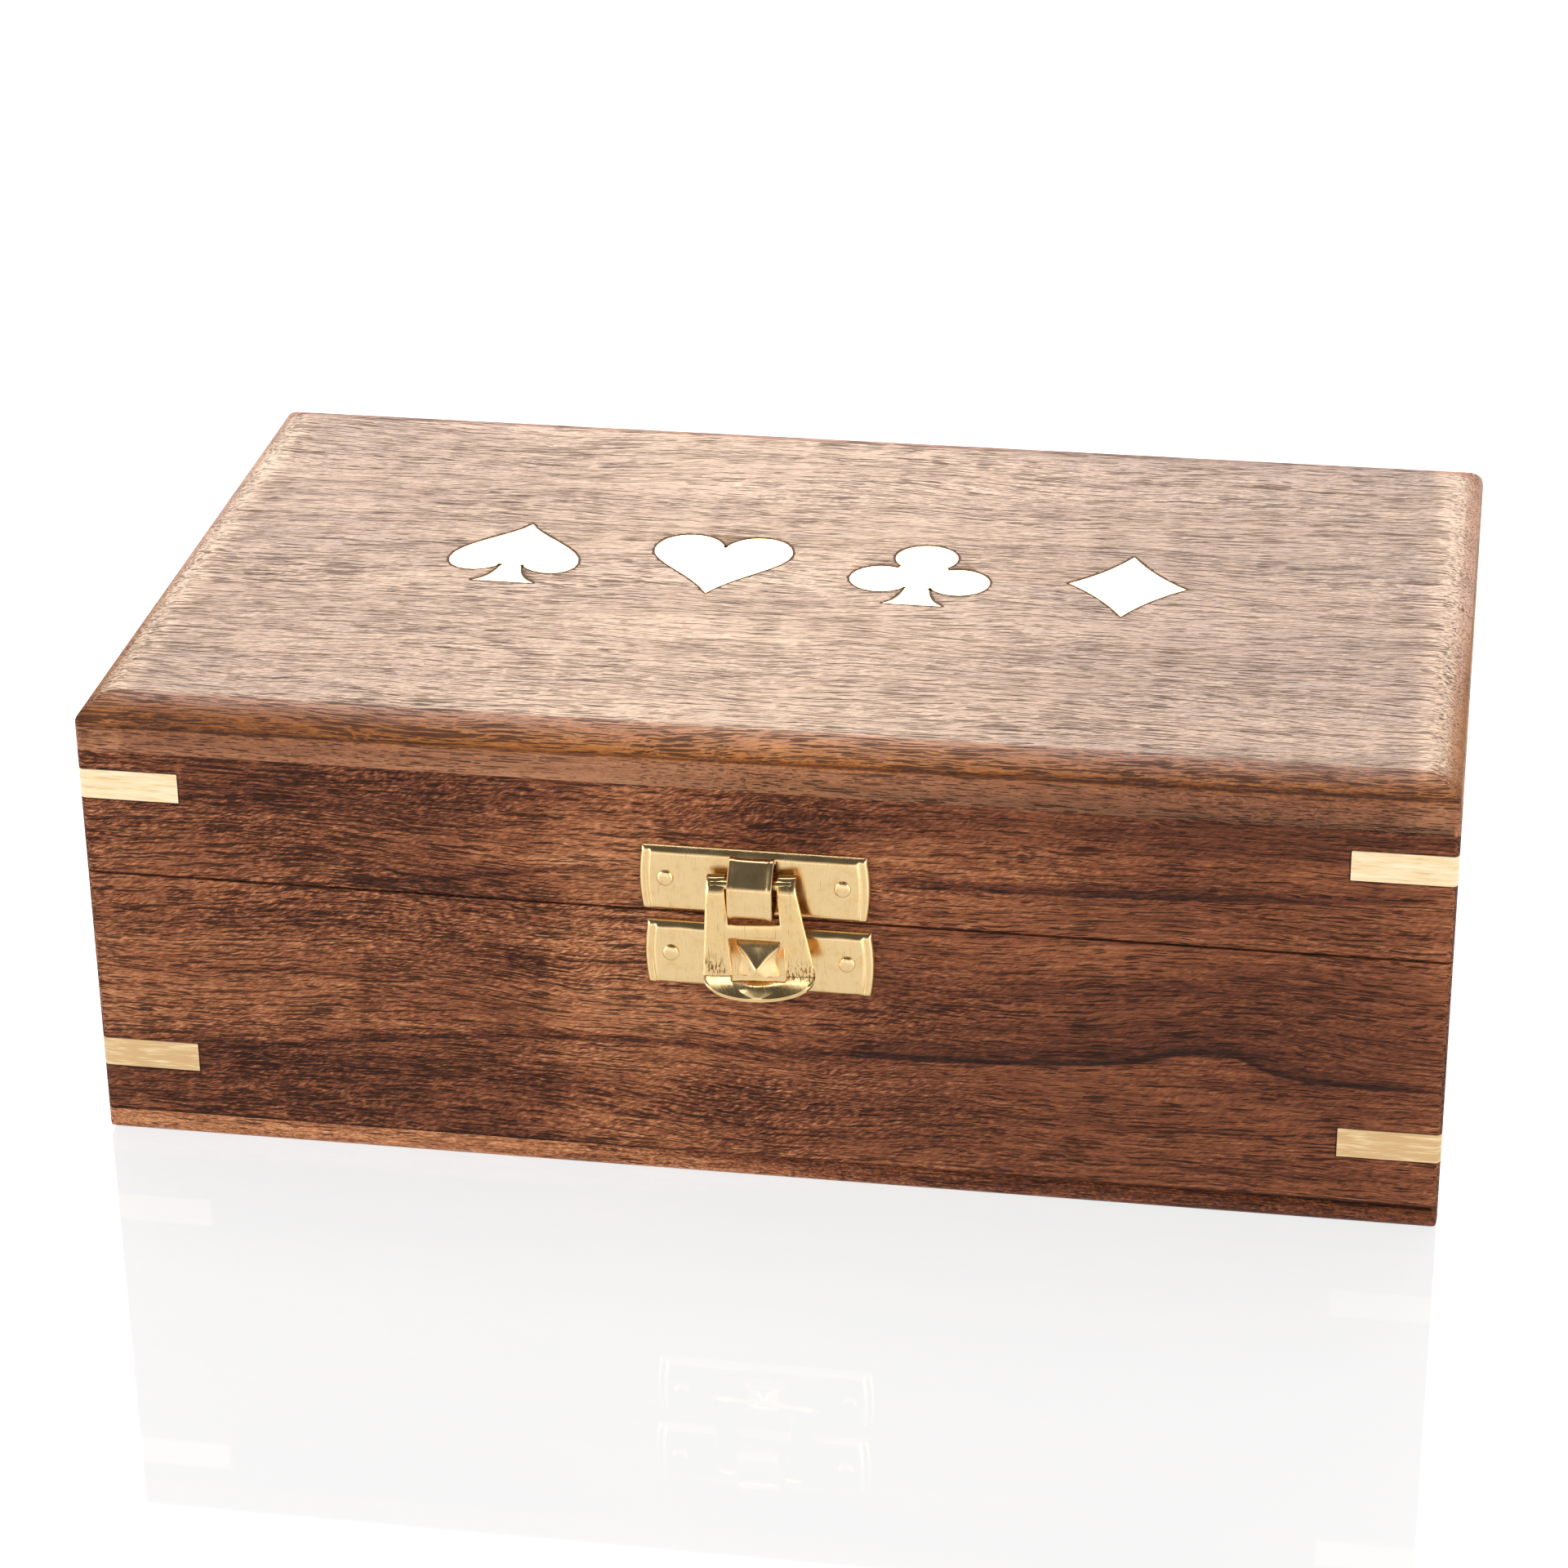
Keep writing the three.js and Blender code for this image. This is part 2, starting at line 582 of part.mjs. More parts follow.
// Half a circle below the trough's axis, from its left edge to its right one.
function troughArc(x, radius) {
  return [...Array(troughSteps + 1).keys()].map((i) => {
    const turn = Math.PI + (i / troughSteps) * Math.PI;
    return [x + radius * Math.cos(turn), troughZ + radius * Math.sin(turn)];
  });
}

for (const [side, sx] of [["left", -1], ["right", 1]]) {
  const edges = rackEdges.map((edge) => sx * edge).sort((a, b) => a - b);
  const middles = SIDES.map((s) => sx * rackMiddle + (s * TROUGH_SPACING) / 2);
  const section = [
    [edges[0], floorZ],
    [edges[0], troughZ],
    ...middles.flatMap((x) => troughArc(x, troughRadius)),
    [edges[1], troughZ],
    [edges[1], floorZ],
  ];
  add(`chip_rack_${side}`, prism(section, "y", -fitY, fitY), RACK_WOOD);
  middles.forEach((x, i) => {
    const lining = [...troughArc(x, CHIP_RADIUS + FELT), ...troughArc(x, CHIP_RADIUS).reverse()];
    add(`trough_felt_${side}_${i + 1}`, prism(lining, "y", -fitY, fitY), FELT_GREEN);
  });
  const faces = [sx * (CARD_WELL.width / 2), sx * dividerOuter].sort((a, b) => a - b);
  add(`card_divider_${side}`, box([faces[0], -fitY, floorZ], [faces[1], fitY, DIVIDER.top]), RACK_WOOD);
}

const wellX = CARD_WELL.width / 2 - GLUE;
const cardWellFront = innerY - CARD_WELL.length;
const diceWellBack = cardWellFront - DIVIDER.thick;
add("dice_divider", box([-wellX, diceWellBack, floorZ], [wellX, cardWellFront, DICE_DIVIDER_TOP]), RACK_WOOD);
add(
  "card_well_felt",
  box([-wellX, cardWellFront + GLUE, floorZ], [wellX, fitY, floorZ + FELT]),
  FELT_GREEN,
);
add(
  "dice_well_felt",
  box([-wellX, -fitY, floorZ], [wellX, diceWellBack - GLUE, floorZ + FELT]),
  FELT_GREEN,
);
add(
  "lid_felt",
  box([-innerX + GLUE, -fitY, lidUnderside - GLUE - FELT], [innerX - GLUE, fitY, lidUnderside - GLUE]),
  FELT_GREEN,
);

export default group;
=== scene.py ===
import json
import math

import bmesh
import bpy
from mathutils import Matrix, Vector, noise

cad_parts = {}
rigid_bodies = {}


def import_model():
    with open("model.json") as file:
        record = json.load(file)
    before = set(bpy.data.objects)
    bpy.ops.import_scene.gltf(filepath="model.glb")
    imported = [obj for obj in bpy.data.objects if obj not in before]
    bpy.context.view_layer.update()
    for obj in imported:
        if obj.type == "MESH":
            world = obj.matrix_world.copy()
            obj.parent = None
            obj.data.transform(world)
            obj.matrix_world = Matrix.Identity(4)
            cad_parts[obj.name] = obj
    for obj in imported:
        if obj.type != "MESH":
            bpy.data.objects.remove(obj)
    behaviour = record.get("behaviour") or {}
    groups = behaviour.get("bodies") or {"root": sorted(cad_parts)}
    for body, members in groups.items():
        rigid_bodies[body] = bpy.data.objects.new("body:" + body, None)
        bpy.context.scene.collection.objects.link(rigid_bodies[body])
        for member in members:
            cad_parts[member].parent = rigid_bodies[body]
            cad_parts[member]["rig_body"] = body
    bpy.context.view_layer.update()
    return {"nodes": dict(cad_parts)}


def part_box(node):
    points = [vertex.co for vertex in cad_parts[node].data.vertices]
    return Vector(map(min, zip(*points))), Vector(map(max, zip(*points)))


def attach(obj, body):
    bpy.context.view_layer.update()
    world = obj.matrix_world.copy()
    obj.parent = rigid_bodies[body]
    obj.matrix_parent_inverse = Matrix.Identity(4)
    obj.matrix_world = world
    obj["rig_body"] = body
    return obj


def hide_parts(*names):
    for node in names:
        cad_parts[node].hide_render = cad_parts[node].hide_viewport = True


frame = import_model()
MM = 0.001

# In millimetres: the case's half width (X) and half depth (Y), where lid and base meet, and its top.
HALF_WIDTH, HALF_DEPTH, SEAM, TOP = 120.0, 71.5, 53.0, 86.0


# ---- Node graphs ---------------------------------------------------------------------------------
class Graph:
    """A material's node tree, with short ways to add and join its nodes."""

    def __init__(self, name):
        self.material = bpy.data.materials.new(name)
        self.material.use_nodes = True
        self.tree = self.material.node_tree
        self.shader = self.tree.nodes["Principled BSDF"]

    def feed(self, socket, value):
        if isinstance(value, bpy.types.NodeSocket):
            self.tree.links.new(value, socket)
        elif value is not None:
            socket.default_value = value

    def add(self, kind, *inputs, **settings):
        node = self.tree.nodes.new(kind)
        for key, value in settings.items():
            setattr(node, key, value)
        for i, value in enumerate(inputs):
            self.feed(node.inputs[i], value)
        return node

    def math(self, operation, *values):
        return self.add("ShaderNodeMath", *values, operation=operation).outputs[0]

    def total(self, *values):
        result = values[0]
        for value in values[1:]:
            result = self.math("ADD", result, value)
        return result

    def times(self, a, b):
        return self.math("MULTIPLY", a, b)

    def fit(self, value, low, high, to_low=0.0, to_high=1.0, smooth=True):
        """Carries value from the range low..high to to_low..to_high, and holds it there beyond."""
        kind = "SMOOTHSTEP" if smooth else "LINEAR"
        node = self.add("ShaderNodeMapRange", value, low, high, to_low, to_high, interpolation_type=kind)
        return node.outputs[0]

    def swing(self, noise_value, amount, edge=0.25):
        """A noise value carried to the range from -amount to amount, in a straight line."""
        return self.fit(noise_value, edge, 1.0 - edge, -amount, amount, smooth=False)

    def cells(self, place, *sizes):
        """A place counted in cells of the given size in millimetres: one size, or one for each axis."""
        sizes = sizes * 3 if len(sizes) == 1 else sizes
        counts = [self.math("DIVIDE", value, size) for value, size in zip(place, sizes)]
        return self.add("ShaderNodeCombineXYZ", *counts).outputs[0]

    def noise(self, vector, detail=2.0, roughness=0.5):
        """Noise with cells one unit wide: from 0 to 1, and about 0.5 on average."""
        node = self.add("ShaderNodeTexNoise")
        self.feed(node.inputs["Vector"], vector)
        node.inputs["Scale"].default_value = 1.0
        node.inputs["Detail"].default_value = detail
        node.inputs["Roughness"].default_value = roughness
        return node.outputs["Fac"]

    def mix(self, factor, a, b, blend="MIX"):
        node = self.tree.nodes.new("ShaderNodeMix")
        node.data_type = "RGBA"
        node.blend_type = blend
        self.feed(node.inputs["Factor"], factor)
        self.feed(node.inputs[6], a)
        self.feed(node.inputs[7], b)
        return node.outputs[2]

    def ramp(self, factor, stops):
        node = self.add("ShaderNodeValToRGB", factor)
        elements = node.color_ramp.elements
        while len(elements) < len(stops):
            elements.new(0.5)
        for element, (place, colour) in zip(elements, stops):
            element.position = place
            element.color = colour
        return node.outputs[0]

    def curve(self, value, points):
        """A smooth curve through a few points. Both values run from 0 to 1."""
        node = self.add("ShaderNodeFloatCurve")
        self.feed(node.inputs["Value"], value)
        line = node.mapping.curves[0]
        while len(line.points) < len(points):
            line.points.new(0.5, 0.5)
        for point, (x, y) in zip(line.points, points):
            point.location = (x, y)
            point.handle_type = "AUTO"
        node.mapping.update()
        return node.outputs[0]

    def bump(self, height, distance):
        node = self.add("ShaderNodeBump")
        node.inputs["Strength"].default_value = 1.0
        node.inputs["Distance"].default_value = distance
        self.feed(node.inputs["Height"], height)
        return node.outputs["Normal"]

    def place_mm(self):
        """Where a point is in the part's own frame, as three values in millimetres."""
        coords = self.add("ShaderNodeTexCoord").outputs["Object"]
        scaled = self.add("ShaderNodeVectorMath", coords, operation="SCALE")
        scaled.inputs["Scale"].default_value = 1 / MM
        split = self.add("ShaderNodeSeparateXYZ", scaled.outputs[0])
        return split.outputs[0], split.outputs[1], split.outputs[2]

    def finish(self, colour=None, roughness=None, normal=None, **fixed):
        self.feed(self.shader.inputs["Base Color"], colour)
        self.feed(self.shader.inputs["Roughness"], roughness)
        self.feed(self.shader.inputs["Normal"], normal)
        for name, value in fixed.items():
            self.shader.inputs[name.replace("_", " ")].default_value = value
        return self.material


def srgb(red, green, blue):
    """A colour given as it looks on screen, from 0 to 255, as the linear colour that a shader wants."""
    def linear(value):
        value /= 255
        return value / 12.92 if value <= 0.04045 else ((value + 0.055) / 1.055) ** 2.4
    return (linear(red), linear(green), linear(blue), 1.0)


# ---- Wood ----------------------------------------------------------------------------------------
GRAIN_AXES = {"x": (0, 2, 1), "y": (1, 2, 0), "top": (0, 1, 2)}  # along the grain, across it, into the board
WALNUT = [(0.0, srgb(46, 22, 12)), (0.28, srgb(91, 47, 28)), (0.5, srgb(136, 79, 49)),
          (0.72, srgb(181, 119, 79)), (1.0, srgb(222, 164, 120))]
PALE_WALNUT = [(0.0, srgb(60, 38, 24)), (0.28, srgb(106, 74, 52)), (0.5, srgb(146, 109, 80)),
               (0.72, srgb(182, 146, 114)), (1.0, srgb(216, 186, 154))]
PORE = srgb(36, 17, 10)
# Each kind of pore: length and width of the cell it lies in, its greatest radius, its slant, and an offset.
PORE_SIZES = [(14.0, 0.6, 0.31, 0.02, 0.0), (8.0, 0.48, 0.32, 0.03, 31.0), (4.5, 0.42, 0.3, -0.02, 57.0)]


def vein(g, along, across, start, end, path, sharp, fade):
    """How near a point is to a dark vein, from 0 to 1. It is crisp on its lower side and fades away above. Its path
    is a list of (share of the way from start to end, mm across the grain)."""
    reach, past, within = 100.0, 4.0, 12.0
    share = g.fit(along, start, end, smooth=False)
    line = g.times(g.curve(share, [(x, y / reach) for x, y in path]), reach)
    above = g.math("SUBTRACT", across, line)
    tapered = g.times(g.fit(along, start - past, start + within),
                      g.fit(along, end - within, end + past, 1.0, 0.0))
    return g.times(tapered, g.times(g.fit(above, -sharp, 0.0), g.fit(above, 0.0, fade, 1.0, 0.0)))


class Grain:
    """Coordinates that follow the grain of one board, and the patterns that are stretched along it."""

    def __init__(self, g, axes, seed):
        self.g = g
        self.place = g.place_mm()
        along, across, into = (self.place[i] for i in GRAIN_AXES[axes])
        self.across = across
        self.along = g.math("ADD", along, seed * 371.0)
        self.into = g.math("ADD", into, seed * 53.0)
        straight = (self.along, across, self.into)
        bend = g.noise(g.cells(straight, 70.0, 26.0, 26.0), 1.0)
        wave = g.noise(g.cells(straight, 7.0, 2.6, 2.6), 1.0)
        self.bent = g.total(across, g.swing(bend, 3.0, 0.2), g.swing(wave, 0.3, 0.2))

    def stretched(self, length, width, slope=0.0, offset=0.0):
        g = self.g
        rise = g.math("MULTIPLY_ADD", self.along, -slope, g.math("ADD", self.bent, offset))
        run = g.math("MULTIPLY_ADD", self.bent, slope, self.along)
        return g.cells((run, rise, self.into), length, width, width)

    def streaks(self, length, width, detail=2.0, roughness=0.5, slope=0.0, offset=0.0):
        return self.g.noise(self.stretched(length, width, slope, offset), detail, roughness)

    def dashes(self, length, width, most, slope=0.0, offset=0.0):
        """Separate pores: cut ends of vessels, each a dark dash of its own length. most is from 0 to 0.5."""
        g = self.g
        cells = g.add("ShaderNodeTexVoronoi")
        cells.inputs["Scale"].default_value = 1.0
        g.feed(cells.inputs["Vector"], self.stretched(length, width, slope, offset))
        chance = g.add("ShaderNodeSeparateXYZ", cells.outputs["Color"]).outputs[0]
        radius = g.times(g.math("SQRT", chance), most)
        return g.fit(g.math("SUBTRACT", radius, cells.outputs["Distance"]), -0.03, 0.06)

    def ripple(self):
        """Short slanting ridges across the grain."""
        g = self.g
        sway = g.swing(self.streaks(9.0, 3.0, 1.0, offset=210.0), 0.35, 0.3)
        run = g.math("MULTIPLY_ADD", self.bent, 0.4, self.along)
        rise = g.total(g.times(self.along, -0.28), self.bent, sway)
        return g.noise(g.cells((run, rise, self.into), 1.4, 0.32, 0.32), 2.0, 0.6)


def wood(name, axes, seed, veins=(), tone=0.0, patches=None, shade=None, dense=None, calm=None, crowding=1.0,
         roughness=0.4, gloss=0.16, figure=1.0, rippled=0.34, lines=0.65, slim=1.0, pore=PORE, palette=WALNUT):
    """The material of one board. figure, rippled, lines and crowding say how strong its figure, ripple, fine lines
    and pores are, and slim how wide its pores are. By place, patches adds to its tint, dense adds to its pores,
    calm scales its ripple, and shade recolours it."""
    g = Graph(name)
    grain = Grain(g, axes, seed)
    broad = grain.streaks(120.0, 12.0, 1.0)
    middling = grain.streaks(45.0, 1.8, 3.0, 0.6)
    fine = grain.streaks(7.0, 0.34, 2.0, 0.65)
    tint = g.total(g.swing(broad, 0.16 * figure), g.swing(middling, 0.16 * figure), g.swing(fine, 0.15),
                   0.5 + tone)
    if patches:
        tint = g.math("ADD", tint, patches(g, grain.place))
    for *line, depth in veins:
        across = g.math("ADD", grain.across, g.swing(fine, 0.3, 0.2))
        tint = g.math("MULTIPLY_ADD", vein(g, grain.place[0], across, *line), -depth, tint)

    ripple = grain.ripple()
    lively = g.fit(grain.streaks(40.0, 16.0, 1.0, offset=70.0), 0.3, 0.7, 0.5, 1.0)
    if calm:
        lively = g.times(lively, calm(g, grain.place))
    ridges = g.fit(ripple, 0.25, 0.75, -1.15 * rippled, 0.85 * rippled, smooth=False)
    colour = g.ramp(g.math("ADD", tint, g.times(ridges, lively)), palette)

    crowd = g.fit(grain.streaks(30.0, 5.0, 1.0, offset=130.0), 0.3, 0.7, 0.75 * crowding, 1.2 * crowding,
                  smooth=False)
    if dense:
        crowd = g.math("ADD", crowd, dense(g, grain.place))
    pores = g.times(g.fit(grain.streaks(15.0, 0.32, 2.0, 0.6, offset=300.0), 0.58, 0.7), lines)
    for length, width, most, slope, offset in PORE_SIZES:
        dashes = grain.dashes(length, width * slim, g.times(crowd, most), slope, offset)
        pores = g.math("MAXIMUM", pores, dashes)
    colour = g.mix(g.times(pores, 0.8), colour, pore)
    if shade:
        colour = shade(g, grain.place, colour)

    height = g.math("SUBTRACT", g.total(g.times(ripple, 0.6), g.times(fine, 0.5)), g.times(pores, 1.2))
    rough = g.math("ADD", g.fit(fine, 0.2, 0.8, roughness - 0.06, roughness + 0.08, smooth=False),
                   g.times(pores, 0.35))
    return g.finish(colour, rough, g.bump(height, 0.12 * MM), Specular_IOR_Level=gloss)


# ---- Pieces --------------------------------------------------------------------------------------
def slab(front, back, solid=lambda row, column: True, ease=0.0):
    """A closed shell between two grids of points, without the cells that aren't solid. Its front edges are drawn
    back by ease."""
    rows, columns = len(front), len(front[0])
    cells = {(r, c) for r in range(rows - 1) for c in range(columns - 1) if solid(r, c)}
    points, faces, index = [], [], {}

    def corner(side, r, c):
        if (side, r, c) not in index:
            point = Vector((front, back)[side][r][c])
            if side == 0:
                around = {(r - 1, c - 1), (r - 1, c), (r, c - 1), (r, c)}
                if not around <= cells:
                    point += (Vector(back[r][c]) - point).normalized() * ease
            index[side, r, c] = len(points)
            points.append(point)
        return index[side, r, c]

    for r, c in sorted(cells):
        ring = [(r, c), (r, c + 1), (r + 1, c + 1), (r + 1, c)]
        faces.append([corner(0, *place) for place in ring])
        faces.append([corner(1, *place) for place in reversed(ring)])
        beside = [(r - 1, c), (r, c + 1), (r + 1, c), (r, c - 1)]
        for i, neighbour in enumerate(beside):
            if neighbour not in cells:
                a, b = ring[i], ring[(i + 1) % 4]
                faces.append([corner(0, *a), corner(1, *a), corner(1, *b), corner(0, *b)])
    return points, faces


def tube(rings):
    """A closed skin over rings of points, with flat ends."""
    size = len(rings[0])
    points = [Vector(point) for ring in rings for point in ring]
    faces = [[i * size + j, i * size + (j + 1) % size, (i + 1) * size + (j + 1) % size, (i + 1) * size + j]
             for i in range(len(rings) - 1) for j in range(size)]
    return points, faces + [list(range(size)), list(range(len(points) - size, len(points)))]


def piece(name, body, material, slot, replaced, *shells, sharp=38.0):
    """A new piece from closed shells, given in millimetres in the part's own frame."""
    points, faces = [], []
    for shell_points, shell_faces in shells:
        faces += [[i + len(points) for i in face] for face in shell_faces]
        points += [point * MM for point in shell_points]
    mesh = bpy.data.meshes.new(name)
    mesh.from_pydata(points, [], faces)
    shape = bmesh.new()
    shape.from_mesh(mesh)
    bmesh.ops.recalc_face_normals(shape, faces=shape.faces)
    shape.to_mesh(mesh)
    shape.free()
    return settle(name, mesh, body, material, replaced, sharp)


def settle(name, mesh, body, material, replaced, sharp):
    """Makes a mesh a piece: smooth but for edges sharper than so many degrees, and riding on its body."""
    mesh.shade_smooth()
    mesh.set_sharp_from_angle(angle=math.radians(sharp))
    mesh.materials.append(material)
    made = bpy.data.objects.new(name, mesh)
    bpy.context.scene.collection.objects.link(made)
    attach(made, body)
    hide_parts(*replaced)
    flat = made.modifiers.new("flat_faces", "WEIGHTED_NORMAL")
    flat.weight, flat.keep_sharp = 100, True
    return made


def welded(node):
    """A CAD node's mesh with its split points joined."""
    shape = bmesh.new()
    shape.from_mesh(frame["nodes"][node].data)
    bmesh.ops.remove_doubles(shape, verts=shape.verts, dist=0.002 * MM)
    return shape


def refined(node, material, ease, shortest=2.5, sharp=38.0):
    """Stands in for a CAD node: the same shape, with sharp edges longer than shortest eased."""
    mesh = bpy.data.meshes.new(node)
    shape = welded(node)
    bmesh.ops.dissolve_limit(shape, angle_limit=math.radians(0.5), verts=shape.verts, edges=shape.edges)
    if ease:
        edges = [edge for edge in shape.edges if len(edge.link_faces) == 2
                 and edge.calc_length() > shortest * MM and edge.calc_face_angle() > math.radians(sharp)]
        bmesh.ops.bevel(shape, geom=edges, offset=ease * MM, segments=2, profile=0.5, affect="EDGES")
    bmesh.ops.triangulate(shape, faces=[face for face in shape.faces if len(face.verts) > 4])
    bmesh.ops.recalc_face_normals(shape, faces=shape.faces)
    shape.to_mesh(mesh)
    shape.free()
    body = frame["nodes"][node]["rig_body"]
    return settle(f"{node}_finished", mesh, body, material, [node], sharp)


def graded(value, stops):
    """A value read off a list of (place, height), in straight lines."""
    for (a, low), (b, high) in zip(stops, stops[1:]):
        if value <= b:
            return low + (high - low) * max(0.0, value - a) / (b - a)
    return stops[-1][1]


def between(start, end, steps):
    """Evenly spaced values from start to end."""
    return [start + (end - start) * i / steps for i in range(steps + 1)]


def nodes_with(*parts):
    return [name for name in sorted(frame["nodes"]) if all(part in name for part in parts)]


def pale_wood():
    """Close-grained pale hardwood for the corner keys."""
    g = Graph("key_wood")
    place = g.place_mm()
    figure = g.noise(g.cells(place, 9.0, 9.0, 0.9), 3.0, 0.6)
    fine = g.noise(g.cells(place, 3.5, 3.5, 0.22), 2.0)
    darker_below = g.fit(place[2], 30.0, 50.0, -0.55, -0.05)
    tint = g.total(g.swing(figure, 0.3, 0.3), g.swing(fine, 0.22, 0.3), darker_below, 0.6)
    colour = g.ramp(tint, [(0.0, srgb(208, 170, 122)), (0.4, srgb(238, 210, 162)), (1.0, srgb(254, 236, 204))])
    rough = g.fit(fine, 0.3, 0.7, 0.42, 0.56, smooth=False)
    return g.finish(colour, rough, g.bump(fine, 0.04 * MM), Specular_IOR_Level=0.2)


def filler_paste():
    """The dark paste pressed in round the brass inlays."""
    g = Graph("filler")
    grit = g.noise(g.cells(g.place_mm(), 0.4), 3.0, 0.6)
    colour = g.ramp(grit, [(0.3, srgb(44, 26, 18)), (0.7, srgb(112, 78, 56))])
    return g.finish(colour, None, g.bump(grit, 0.06 * MM), Roughness=0.8, Specular_IOR_Level=0.2)


def polished_brass(name, base, roughness, scratches=0.25, worn=None):
    """Lacquered brass: faintly uneven, with fine upright scratches and duller yellow patches. worn says how far each
    place is scratched dark, from 0 to 1."""
    yellowed, bared = srgb(222, 178, 106), srgb(116, 76, 38)
    g = Graph(name)
    place = x, y, z = g.place_mm()
    hair = g.noise(g.cells((g.math("ADD", x, y), y, z), 0.16, 3.0, 3.5), 2.0)
    soft = g.noise(g.cells(place, 4.0), 2.0)
    blotch = g.noise(g.cells(place, 2.2), 4.0, 0.65)
    mark = g.fit(hair, 0.62, 0.72, 0.0, scratches)
    if worn:
        hatch = g.noise(g.cells(place, 0.32, 2.0, 1.1), 3.0, 0.6)
        mark = g.math("MAXIMUM", mark, g.times(g.fit(hatch, 0.5, 0.58), worn(g, place)))
    colour = g.mix(g.fit(blotch, 0.45, 0.75, 0.0, 0.5), base, yellowed)
    colour = g.mix(mark, colour, bared)
    rough = g.total(g.fit(soft, 0.3, 0.7, roughness - 0.04, roughness + 0.06, smooth=False), g.times(mark, 0.4))
    height = g.total(g.times(hair, 0.15 + 0.3 * scratches), g.times(soft, 1.5))
    return g.finish(colour, rough, g.bump(height, 0.02 * MM), Metallic=1.0)


def leg_wear(g, place):
    """The hasp is scratched dark on its legs beside the window, where it snaps over the stud."""
    window_middle = 1.2
    legs = g.fit(g.math("ABSOLUTE", g.math("SUBTRACT", place[0], window_middle)), 4.9, 5.5)
    low = g.times(g.fit(place[2], 45.4, 48.8, 0.9, 0.0), g.fit(place[2], 44.2, 44.8))
    return g.times(legs, low)


def green_felt():
    """Short-napped wool felt: matted fibres, with worn and brushed patches."""
    g = Graph("felt")
    place = g.place_mm()
    fibres = g.noise(g.cells(place, 0.7), 5.0, 0.75)
    brushed = g.noise(g.cells(place, 14.0, 22.0, 14.0), 2.0)
    tint = g.total(g.swing(fibres, 0.32), g.swing(brushed, 0.09, 0.3), 0.5)
    colour = g.ramp(tint, [(0.0, srgb(10, 38, 24)), (0.5, srgb(26, 78, 52)), (1.0, srgb(58, 118, 84))])
    return g.finish(colour, None, g.bump(fibres, 0.3 * MM), Roughness=0.95, Specular_IOR_Level=0.15,
                    Sheen_Weight=0.35, Sheen_Roughness=0.5)


# ---- Boards' woods -------------------------------------------------------------------------------
# Dark veins of the front board: start and end along X, path, widths of the crisp and faded sides, and depth.
FRONT_VEINS = [
    (-106.0, 120.0, [(0, 20.2), (0.07, 19.6), (0.15, 22.1), (0.25, 25.0), (0.52, 26.4), (0.71, 27.9),
                     (0.76, 29.2), (0.81, 31.9), (0.84, 31.7), (0.87, 29.0), (0.93, 27.6), (1, 28.0)],
     0.5, 1.8, 0.24),
    (11.5, 120.0, [(0, 26.4), (0.4, 27.9), (0.5, 29.2), (0.6, 31.9), (0.67, 31.7), (0.73, 29.0), (0.85, 27.6),
                   (1, 28.0)], 0.5, 6.0, 0.16),
    (20.0, 120.0, [(0, 60.6), (0.33, 61.2), (0.6, 62.1), (0.85, 63.4), (1, 64.8)], 0.5, 3.0, 0.26),
    (-74.0, -20.0, [(0, 53.9), (0.3, 55.6), (0.6, 58.4), (1, 61.5)], 0.6, 1.6, 0.22),
]
# The corner keys' middles, half thickness and length along a board, and the width of the glue round them.
KEY_HEIGHTS, KEY_HALF, KEY_LEG, GLUE_LINE = (16.3, 70.4), 2.8, 18.0, 0.35


def along_width(g, x):
    """How far along the case's width a point is, from 0 at the left end to 1."""
    return g.fit(x, -HALF_WIDTH, HALF_WIDTH, smooth=False)


def outside(g, place, run):
    """1 on the outer face of a board that runs along X (run 0) or along Y (run 1), and 0 within it."""
    half = (HALF_DEPTH, HALF_WIDTH)[run]
    return g.fit(g.math("ABSOLUTE", place[1 - run]), half - 0.3, half - 0.1)


def glue_lines(g, place, run, half):
    """Dark glue round the corner keys. run is 0 on the boards that run along X, and 1 on those along Y."""
    end = g.fit(g.math("ABSOLUTE", place[run]), half - KEY_LEG - GLUE_LINE, half - KEY_LEG - 0.6 * GLUE_LINE)
    near = [g.math("ABSOLUTE", g.math("SUBTRACT", place[2], height)) for height in KEY_HEIGHTS]
    side = g.fit(g.math("MINIMUM", *near), KEY_HALF + 0.6 * GLUE_LINE, KEY_HALF + GLUE_LINE, 1.0, 0.0)
    return g.times(g.times(end, side), g.times(outside(g, place, run), -0.18))


def long_glue(g, place):
    return glue_lines(g, place, 0, HALF_WIDTH)


def short_glue(g, place):
    return glue_lines(g, place, 1, HALF_DEPTH)


